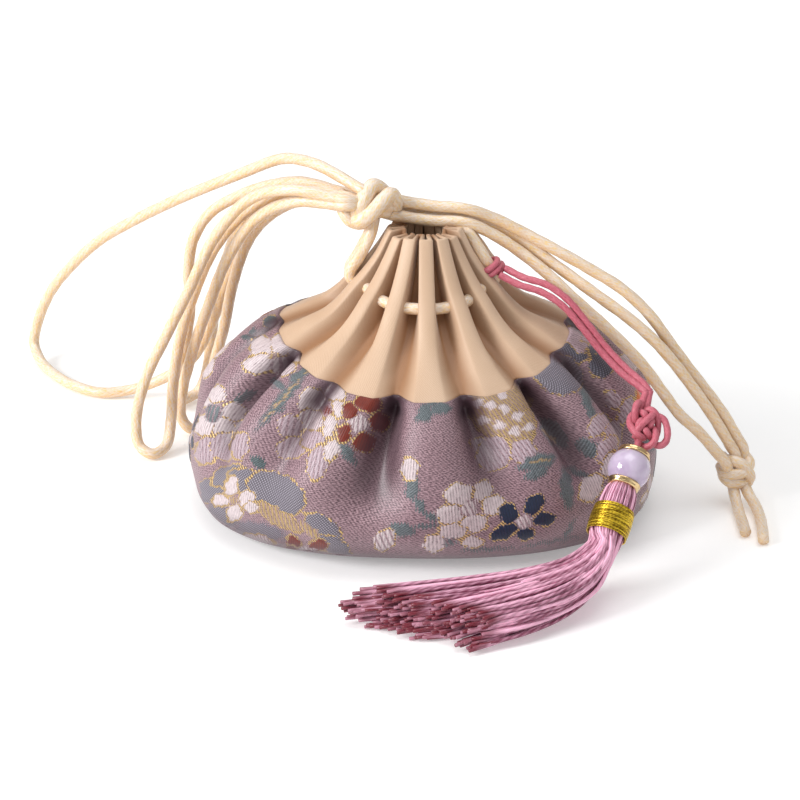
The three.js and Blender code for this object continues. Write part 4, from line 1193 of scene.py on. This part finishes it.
# knot of the cords at the left of the mouth: two fat wraps, a loop round them and the cords within
mainKnot = {
    "centre": (-11.4, 1.2, 65.1),
    "near": 12,
    "pull": (0.12, 0.35, 0.35),
    "wraps": [
        (3.5, [
            (3.2, 1.2, -1.6), (2.6, 2.9, -0.4), (1, 3.6, 0.9), (-0.2, 2.4, 1.9), (-1, 0.6, 2.4),
            (-1.7, -1, 2.1), (-2, -2.2, 1), (-1, -2.9, -0.6),
        ]),
        (3.4, [
            (5.2, -0.6, -1.3), (5.3, 0.8, -0.4), (4.6, 1.9, 0.8), (3.3, 0.9, 2.1), (1.9, -0.7, 2.8), (0.3, -2.2, 2.8),
            (-1.4, -3.2, 2.2), (-2.8, -3.1, 0.6),
        ]),
        (2.6, [
            (-5, 2.4, -0.9), (-5.7, 1.2, 0.1), (-5.4, -0.4, 0.9), (-4.7, -2, 1.2), (-3.6, -3.4, 1.1),
            (-2, -3.9, 0.8), (-0.2, -3.5, 0),
        ]),
        (2.2, [(-4.2, 1.8, -0.6), (-3.7, 0.4, 0.7), (-3.1, -1.2, 1.4), (-2.6, -2.6, 1.2)]),
        (3.8, [(-6, 0.9, -1), (-2.4, 0.8, -0.2), (1.2, 0.6, 0.2), (4.8, -0.2, -0.8)]),
        (3.4, [(-4.2, -0.8, -1.2), (-1, -1.2, -0.4), (2.2, -1, -0.6), (4.2, -1.2, -1.4)]),
    ],
    "core": [
        [(-14.5, 2.2, 66), (-9, 2.8, 65.6), (-4.4, 3.4, 65)],
        [(-14, 1.4, 64.8), (-9, 1.8, 63.4), (-4.4, 2.1, 62.2)],
        [(-14, 3.4, 64.8), (-9, 4.2, 63.6), (-4.4, 4.8, 62.4)],
    ],
    "risers": [
        [(-13.4, -1.45, 48.4), (-15.3, -1.45, 50.8), (-13.2, -1.45, 55), (-11, -1.4, 59.6), (-10.2, 0, 62.6)],
        [(-13.4, 1.45, 48.4), (-15.3, 1.45, 50.8), (-13.2, 1.45, 55), (-11, 1.5, 59.6), (-10, 2.6, 62.6)],
    ],
}


def mainKnotPart():
    placed = facing(mainKnot["centre"], viewWay)
    parts = [ivoryTube(placed(route), thick) for thick, route in mainKnot["wraps"]]
    parts += [ivoryTube(route) for route in mainKnot["core"] + mainKnot["risers"]]
    middle = np.array(mainKnot["centre"])
    # cords that end near the knot run on into it
    for route in ivoryRoutes.values():
        for end, following in (np.array(route[:2], float), np.array(route[:-3:-1], float)):
            if np.linalg.norm(end - middle) < mainKnot["near"]:
                way = (end - following) / np.linalg.norm(end - following)
                goal = middle + (end - middle) * mainKnot["pull"]
                bend = (end + way * 2.4) * 0.45 + goal * 0.55
                parts.append(ivoryTube([end - way * 0.4, end + way * 1.6, bend, goal]))
    return joinParts(parts)


knotMain = makePiece(
    "knot_of_cords", mainKnotPart(), ivory, ["main_knot", "riser_left_front", "riser_left_back"],
)

# knot that ends the strands at the right, with its two cut tails
endKnot = {
    "centre": (65.4, -2.2, 7.2),
    "wraps": [
        (2.5, [(2.2, 2.6, -1.6), (2.8, 1.0, 0.6), (1.6, -0.6, 1.9), (-0.6, -1.2, 2.1),
               (-2.6, -0.8, 1.2), (-3.0, 0.6, -0.6)]),
        (2.5, [(-2.6, 2.4, -1.0), (-2.4, 1.9, 0.7), (-0.6, 1.6, 1.9), (1.4, 0.6, 2.2),
               (2.8, -1.4, 1.3), (2.6, -2.8, -0.5)]),
        (2.5, [(-2.4, 0.8, -1.2), (-2.6, -1.4, 0.6), (-1.4, -2.8, 1.4), (0.4, -3.0, 1.3), (1.8, -2.8, 0.2)]),
    ],
    "goals": {"strand_low": (64.4, -3.6, 6), "strand_mid": (66, -2.2, 6), "strand_high": (67, -1.6, 6.4)},
    "tails": [
        [(64.6, -3, 5), (65, -5.6, 3), (65.4, -10.2, 1.6), (65.7, -15.4, 1.4), (65.9, -20, 1.4)],
        [(66.8, -2.6, 5), (67.8, -5.4, 3.2), (69.3, -10, 1.7), (69.6, -16.6, 1.4), (69.2, -23.4, 1.4)],
    ],
}


def endKnotPart():
    placed = facing(endKnot["centre"], viewWay)
    parts = [ivoryTube(placed(route), thick) for thick, route in endKnot["wraps"]]
    parts += [ivoryTube(route) for route in endKnot["tails"]]
    # the strands run on into the knot
    for name, goal in endKnot["goals"].items():
        before, end = np.array(ivoryRoutes[name][-2:], float)
        way = (end - before) / np.linalg.norm(end - before)
        parts.append(ivoryTube([end - way * 0.5, end + way * 0.6, end + way * 2.2, goal]))
    return joinParts(parts)


knotEnd = makePiece("knot_at_end", endKnotPart(), ivory, ["end_knot", "tail_left", "tail_right"])

print("knots and drawcord")

# pink hanger: doubled braided cord from the hitch to the charm knot
pinkCord = {
    "thick": 1.5,
    "hitchThick": 1.3,
    "knotThick": 1.45,
    "sides": 12,
    "step": 0.3,
    "strands": 5,
    "pitch": 5.4,
    "reliefPitch": 2.6,
    "relief": 0.05,
    "contrast": (-0.45, 0.95),
    "pale": linear(204, 107, 123),
    "fleck": linear(200, 115, 128),
    # deeper colour of the cord, also used for the painted shade between threads and under the cord
    "shade": linear(160, 62, 80),
    "routes": {
        "hanger_front": [
            (15.3, -3.6, 51.7), (19, -5.3, 50.3), (23.9, -6.7, 49.1), (28.1, -8.3, 46.7), (32.1, -10.1, 42.5),
            (35.6, -11.9, 38.5), (39.8, -14.5, 34.8), (42.9, -16.6, 33), (44.6, -18, 32),
        ],
        "hanger_back": [
            (16.4, -2.2, 52.6), (19.9, -4.3, 51.5), (24.9, -5.9, 50.4), (29, -7.5, 47.8), (32.9, -9.3, 43.5),
            (36.4, -11.1, 39.4), (40.6, -13.7, 35.6), (43.8, -16.1, 33.5), (45.4, -17.6, 32),
        ],
    },
}
pinkRelief = braidRelief(2, pinkCord["reliefPitch"], pinkCord["relief"])
pink = braidMaterial("pinkBraidedCord", pinkCord, {"Roughness": 0.45, "Sheen Weight": 0.2, "Sheen Roughness": 0.4})


def pinkTube(route, thick=pinkCord["thick"]):
    return tubePart(smoothRoute(route, pinkCord["step"]), thick / 2, pinkCord["sides"], relief=pinkRelief)


# bead line: middle of the bead and the way down through the tassel
charm = {
    "bead": (40.6, -30.5, 21),
    "way": (-0.33, -0.72, -0.61),
    "beadRadius": 4.3,
    "beadBore": 1.0,
    "knotAt": -10.3,
    "stem": (-8.6, -6.4, 0, 6.4, 7.2),
    "stemThick": 1.3,
    "beadDeep": linear(180, 160, 188),
    "beadPale": linear(208, 194, 214),
    "giltDeep": linear(202, 168, 118),
    "giltPale": linear(238, 212, 164),
}
charmWay = np.array(charm["way"]) / np.linalg.norm(charm["way"])
beadMiddle = np.array(charm["bead"], float)
charmRight, charmLevel = facing((0, 0, 0), charmWay)([(1, 0, 0), (0, 1, 0)])


def alongCharm(distance):
    return beadMiddle + charmWay * distance


# flat charm knot: a ring that crosses itself, an ear at the right and a bight across the front
charmBights = {
    "turns": 3,
    "bights": 4,
    "reach": 2.15,
    "swing": 1.25,
    "size": (0.84, 1.38, 1.1),
    "ear": [
        (0.8, 1.6, -0.4), (2.5, 1.6, 0.5), (4, 0.5, 0.6), (4.4, -1.7, 0.4), (3.8, -3.9, 0.2), (2.4, -4.8, 0.2),
        (0.8, -4, -0.3),
    ],
    "across": [(-2.4, -2.6, -0.2), (-1.6, -1, 1.3), (0, 0.2, 1.8), (1.5, 1.3, 1.3), (2.2, 2.8, 0)],
    # the hanger's two cords run in at the top: from, to
    "inlets": [((44.6, -18, 32), (-0.6, 3.2, -0.3)), ((45.4, -17.6, 32), (0.9, 3, -0.5))],
}


def charmKnotPart():
    form = charmBights
    face = np.array(viewWay) - np.dot(viewWay, charmWay) * charmWay
    local = facing(alongCharm(charm["knotAt"]), face)
    angle = turnFull * form["turns"] * np.linspace(0, 1, 400, endpoint=False)
    phase = angle * form["bights"] / form["turns"]
    reach = form["reach"] + form["swing"] * np.cos(phase)
    wide, tall, thick = form["size"]
    ring = np.stack([wide * reach * np.cos(angle), tall * reach * np.sin(angle), thick * np.sin(2 * phase)], -1)
    path = evenly(local(ring), pinkCord["step"], True)
    parts = [tubePart(path, pinkCord["knotThick"] / 2, pinkCord["sides"], True, pinkRelief)]
    parts += [pinkTube(local(form[name]), pinkCord["knotThick"]) for name in ("ear", "across")]
    for end, inside in form["inlets"]:
        top, low = np.array(end, float), local([inside])[0]
        parts.append(pinkTube([top + (0, 0.2, 0.2), (top + low) / 2, low], pinkCord["thick"]))
    return joinParts(parts)


charmKnot = makePiece("charm_knot_pink", charmKnotPart(), pink, ["charm_knot"])

# hitch round the right riser: two wraps and the tucked end
hitch = {
    "centre": (13.4, -1.5, 52.4),
    "outward": (0.84, 0, 0.54),
    "along": (-0.54, 0, 0.84),
    "radius": 2.05,
    "sweep": 125,
    "shifts": (-0.6, 0.6),
    "tuck": [(15, -3, 51.7), (15.9, -1.4, 52.5), (15.6, 0.2, 52.7)],
}


def hitchPart():
    angle = np.radians(np.linspace(-hitch["sweep"], hitch["sweep"], 13))
    bow = np.outer(np.cos(angle), hitch["outward"]) + np.outer(np.sin(angle), (0, 1, 0))
    wrap = np.array(hitch["centre"]) + hitch["radius"] * bow
    routes = [wrap + np.array(hitch["along"]) * shift for shift in hitch["shifts"]]
    return joinParts([pinkTube(route, pinkCord["hitchThick"]) for route in routes + [hitch["tuck"]]])


hung = [charmKnot, makePiece("hanger_hitch_pink", hitchPart(), pink, ["hanger_hitch"])]
for name, route in pinkCord["routes"].items():
    makePiece(name + "_cord", pinkTube(route), pink, [name])


def turnedPart(profile, sides, wave=None):
    # profile of radius and distance along the charm line
    phi = np.arange(sides) * turnFull / sides
    profile = np.array(profile, float)
    size = profile[:, :1] * np.ones((1, sides))
    if wave is not None:
        size = size + wave(profile, phi)
    points = (
        beadMiddle + profile[:, 1][:, None, None] * charmWay
        + (size * np.cos(phi))[..., None] * charmRight + (size * np.sin(phi))[..., None] * charmLevel
    ).reshape(-1, 3)
    run = runAlong(profile)
    return {
        "points": points,
        "faces": [gridFaces(len(profile), sides)],
        "lays": [gridLay(lambda a, b: run[a], lambda a, b: b / sides, len(profile), sides)],
    }


def beadMaterial():
    material, tree, shader = newMaterial("lilacBead", {
        "Roughness": 0.12, "Subsurface Weight": 0.6, "Subsurface Radius": (0.004, 0.003, 0.004), "Coat Weight": 0.6,
        "Coat Roughness": 0.05, "IOR": 1.5,
    })
    where = addNode(tree, "ShaderNodeTexCoord").outputs["Object"]
    cloud = grain(tree, where, 180.0, 3.0)
    colour = blend(tree, between(tree, cloud, 0.35, 0.7), charm["beadDeep"], charm["beadPale"])
    tree.links.new(colour, shader.inputs["Base Color"])
    return material


def gildMaterial():
    material, tree, shader = newMaterial("gildedCap", {"Metallic": 1.0})
    where = addNode(tree, "ShaderNodeTexCoord").outputs["Object"]
    cloud = grain(tree, where, 900.0, 3.0)
    colour = blend(tree, cloud, charm["giltDeep"], charm["giltPale"])
    tree.links.new(colour, shader.inputs["Base Color"])
    tree.links.new(timesPlus(tree, cloud, 0.2, 0.12), shader.inputs["Roughness"])
    return material


gild = gildMaterial()
edgeAngle = math.asin(charm["beadBore"] / charm["beadRadius"])
beadAngles = np.linspace(edgeAngle, math.pi - edgeAngle, 49)
beadProfile = [(charm["beadRadius"] * math.sin(a), -charm["beadRadius"] * math.cos(a)) for a in beadAngles]
beadProfile = [(0.9, beadProfile[0][1] + 0.3)] + beadProfile + [(0.9, beadProfile[-1][1] - 0.3)]
hung.append(makePiece("lilac_bead", turnedPart(beadProfile, 64), beadMaterial(), ["bead"]))


# gilt cap: a slim ring with a rolled lip that hugs the bead, and a fine beaded line below the lip
beadCap = {
    "profile": [
        (1, 4.3), (1.7, 4.04), (2.56, 3.54), (2.98, 3.16), (3.14, 3.02), (3.3, 3.04), (3.38, 3.2), (3.34, 3.42),
        (3.22, 3.56), (3.16, 3.7), (3.2, 3.86), (3.14, 4.06), (2.9, 4.22), (2.2, 4.5), (1.4, 4.7), (1, 4.7),
        (1, 4.3),
    ],
    "sides": 88,
    "lineAt": 3.9,
    "lineWide": 0.2,
    "lineHigh": 0.04,
    "beads": 26,
}


def capProfile(side):
    return [(r, side * h) for r, h in beadCap["profile"][::side]]


def beading(profile, phi):
    band = np.exp(-((np.abs(profile[:, 1]) - beadCap["lineAt"]) / beadCap["lineWide"]) ** 2)[:, None]
    return beadCap["lineHigh"] * band * np.cos(beadCap["beads"] * phi)[None, :]


for side, name in ((-1, "bead_cap_upper"), (1, "bead_cap_lower")):
    cap = turnedPart(capProfile(side), beadCap["sides"], beading)
    hung.append(makePiece(name + "_gilt", cap, gild, [name]))

stemPart = pinkTube([alongCharm(distance) for distance in charm["stem"]], charm["stemThick"])
hung.append(makePiece("stem_thread", stemPart, pink, ["tassel_stem"]))
print("hanger, bead and caps")

# gold thread wound round the tassel's neck
winding = {
    "top": 9.1,
    "height": 6.2,
    "radius": 3.95,
    "core": 3.85,
    "thread": 0.3,
    "turns": 23,
    "steps": 44,
    # core under the thread: distance out, share of the height
    "band": [(-0.5, 0.1), (-0.05, 0.2), (0.1, 0.5), (-0.05, 0.8), (-0.5, 0.9)],
    "deep": linear(120, 88, 10),
    "pale": linear(236, 204, 66),
}


def windingPart():
    turns, top, height = winding["turns"], winding["top"], winding["height"]
    t = np.linspace(0, 1, turns * winding["steps"])
    phi = t * turns * turnFull
    crown = 0.16 * np.sin(np.pi * t) + 0.05 * np.sin(11 * phi / turns + 3 * t)
    radius = winding["radius"] + crown
    drop = top + 0.25 + t * (height - 0.5) + 0.06 * np.sin(phi * 0.37)
    path = beadMiddle + np.outer(drop, charmWay)
    path = path + np.outer(radius * np.cos(phi), charmRight) + np.outer(radius * np.sin(phi), charmLevel)
    band = [(winding["core"] + out, top + share * height) for out, share in winding["band"]]
    return joinParts([turnedPart(band, 48), tubePart(path, winding["thread"] / 2, 7)])


def goldMaterial():
    material, tree, shader = newMaterial("goldThread", {"Metallic": 0.9, "Roughness": 0.3})
    lay, along, around = layOf(tree)
    twist = ripple(tree, timesPlus(tree, around, 1.0, times(tree, along, 1.4)), 1.0)
    patch = grain(tree, stretched(tree, lay, (0.3, 0.6, 1.0)), 1.0, 2.0)
    tone = timesPlus(tree, twist, 0.15, times(tree, patch, 1.1))
    colour = blend(tree, between(tree, tone, 0.35, 0.85), winding["deep"], winding["pale"])
    tree.links.new(colour, shader.inputs["Base Color"])
    bumped(tree, shader, twist, 0.12, 0.04)
    return material


hung.append(makePiece("gold_winding", windingPart(), goldMaterial(), ["tassel_winding"]))

# tassel: threads run over the head, under the winding and down the skirt
tassel = {
    "threads": 300,
    "thick": 0.74,
    "sides": 6,
    "step": 1.5,
    "neck": 3.4,
    "ply": 2.4,
    "seed": 12,
    "goldenTurn": 2.39996,
    "across": (0.49, -0.872, 0),
    "along": (-0.872, -0.49, 0),
    # over the head and under the winding: distance from the bead, share of the neck
    "head": [(4.1, 0.76), (4.5, 0.86), (6.4, 0.98), (9.1, 1.03), (12, 1.0), (15.2, 1.0)],
    # skirt: x, y, z, half width, half thickness
    "line": [
        (34.3, -44.1, 9.5, 3.6, 3.3), (30, -48.6, 6.6, 4.8, 3.9), (22.6, -52.8, 5.1, 6.6, 4.3),
        (13, -56.4, 4.5, 8.8, 4.2), (4.4, -58.8, 4.2, 10.6, 4), (-2, -60.4, 4, 12, 3.7),
    ],
    # cut ends: slant across, shift, slant up, unevenness
    "cut": (-10.2, 0.2, -2.4, 0.35),
    "deep": linear(120, 46, 76),
    "pale": linear(250, 190, 216),
    # colour of the cut ends: their own darker red, with painted shade among the threads near the tips
    "cutColour": linear(112, 26, 44),
}


def threadTwist(along, around):
    # two plies laid round each other
    return 0.035 * np.cos(turnFull * (2 * around + along / tassel["ply"]))


def tasselPart():
    pick = np.random.default_rng(tassel["seed"])
    across, along = np.array(tassel["across"]), np.array(tassel["along"])
    outward = charmRight * np.dot(charmRight, across) + charmLevel * np.dot(charmLevel, across)
    outward /= np.linalg.norm(outward)
    upward = np.cross(outward, charmWay)
    upward *= np.sign(upward[2])
    slantAcross, shift, slantUp, uneven = tassel["cut"]
    total, half = tassel["threads"], tassel["thick"] / 2
    parts = []
    for k in range(total):
        # packed evenly, as the cut face shows
        reach = math.sqrt((k + 0.5) / total)
        turn = k * tassel["goldenTurn"] + 0.2 * pick.standard_normal()
        a, b = reach * math.cos(turn), reach * math.sin(turn)
        spoke = (outward * a + upward * b) * tassel["neck"]
        route = [alongCharm(distance) + spoke * size for distance, size in tassel["head"]]
        drift = pick.normal(0, 0.25 if k % 9 else 0.5, 3)
        blunt = (abs(math.cos(turn)) ** 5 + abs(math.sin(turn)) ** 5) ** -0.2
        phase = pick.random()
        tip = slantAcross * a + shift + slantUp * b + pick.normal(0, uneven)
        for i, (x, y, z, spread, thick) in enumerate(tassel["line"], 1):
            grow = i / len(tassel["line"])
            lump = 0.1 * math.sin(7 * a * (1 + 0.3 * grow) + 3 * grow + 2 * b)
            fuller = 1 + (blunt - 1) * grow
            spot = np.array([x, y, z]) + across * (a * fuller + lump * grow) * spread
            spot = spot + np.array([0, 0, b * fuller * thick * 0.92]) + along * tip * grow ** 2
            spot = spot + np.array([drift[0], drift[1], 0.5 * drift[2]]) * grow
            sway = math.sin(turnFull * (1.3 * grow + phase)) * math.sin(math.pi * grow)
            spot = spot + (across * 0.7 + np.array([0, 0, 0.3])) * sway
            spot[2] = max(spot[2], 0.5 + 0.25 * (k % 3 == 0))
            route.append(spot)
        path = smoothRoute(route, tassel["step"])
        path[:, 2] = np.maximum(path[:, 2], half + 0.02)
        run = np.linspace(0, 1, len(path))
        # thinner where the winding binds them
        size = half * (0.88 + 0.24 * pick.random()) * (0.55 + 0.45 * np.clip((run - 0.12) / 0.25, 0, 1))
        thread = tubePart(path, size, tassel["sides"], relief=threadTwist, values={"tone": pick.random()})
        thread["values"]["tip"] = np.concatenate([np.repeat(run, tassel["sides"]), [0.0, 1.0]])
        parts.append(thread)
    return joinParts(parts)


def threadMaterial():
    sockets = {"Roughness": 0.38, "Sheen Weight": 0.2, "Sheen Roughness": 0.35}
    material, tree, shader = newMaterial("tasselThread", sockets)
    lay, along, around = layOf(tree)
    ply = ripple(tree, timesPlus(tree, around, 2.0, times(tree, along, 1 / tassel["ply"])), 1.0)
    streak = grain(tree, stretched(tree, lay, (0.25, 5.0, 1.0)), 1.0, 2.0)
    tone = timesPlus(tree, stored(tree, "tone"), 0.85, times(tree, streak, 0.6))
    tone = timesPlus(tree, ply, 0.22, tone)
    colour = blend(tree, between(tree, tone, 0.25, 1.1), tassel["deep"], tassel["pale"])
    # cut ends darkened over the last tenth of each thread: partly the ends' own darker colour, partly painted shade
    # among the threads near the tips
    cut = between(tree, stored(tree, "tip"), 0.9, 0.985)
    depth = timesPlus(tree, stored(tree, "tone"), -0.45, 1.1)
    colour = blend(tree, times(tree, cut, depth), colour, tassel["cutColour"])
    tree.links.new(colour, shader.inputs["Base Color"])
    bumped(tree, shader, ply, 0.35, 0.08)
    return material


makePiece("tassel_threads", tasselPart(), threadMaterial(), ["tassel"])
print("tassel and winding")

# pale floor and soft light
studio = {
    "floor": 3.0,
    "world": 0.4,
    "aim": (0, 0, 0.03),
    # lamps: name, place, size, power
    "lamps": [
        ("keyLight", (-0.95, -0.45, 0.6), 0.5, 13.0),
        ("fillLight", (0.8, -0.7, 0.5), 0.7, 0.5),
        ("topLight", (0.1, 0.1, 1.2), 0.9, 6.0),
    ],
}


def lightStudio():
    scene = bpy.context.scene
    scene.view_settings.view_transform = "Standard"
    scene.view_settings.look = "None"
    world = bpy.data.worlds.new("softRoom")
    world.use_nodes = True
    scene.world = world
    back = world.node_tree.nodes["Background"]
    back.inputs["Color"].default_value = (1, 1, 1, 1)
    back.inputs["Strength"].default_value = studio["world"]
    for name, place, size, power in studio["lamps"]:
        lamp = bpy.data.lights.new(name, "AREA")
        lamp.size = size
        lamp.energy = power
        lampObject = bpy.data.objects.new(name, lamp)
        lampObject.location = place
        lampObject.rotation_euler = (Vector(studio["aim"]) - Vector(place)).to_track_quat("-Z", "Y").to_euler()
        scene.collection.objects.link(lampObject)
    size = studio["floor"]
    mesh = bpy.data.meshes.new("floor")
    mesh.from_pydata([(-size, -size, 0), (size, -size, 0), (size, size, 0), (-size, size, 0)], [], [(0, 1, 2, 3)])
    floor = bpy.data.objects.new("floor", mesh)
    mesh.materials.append(newMaterial("paleFloor", {
        "Roughness": 0.9, "Base Color": (0.82, 0.82, 0.82, 1),
        "Emission Color": (1, 1, 1, 1), "Emission Strength": 0.28,
    })[0])
    scene.collection.objects.link(floor)


lightStudio()
print("studio ready")
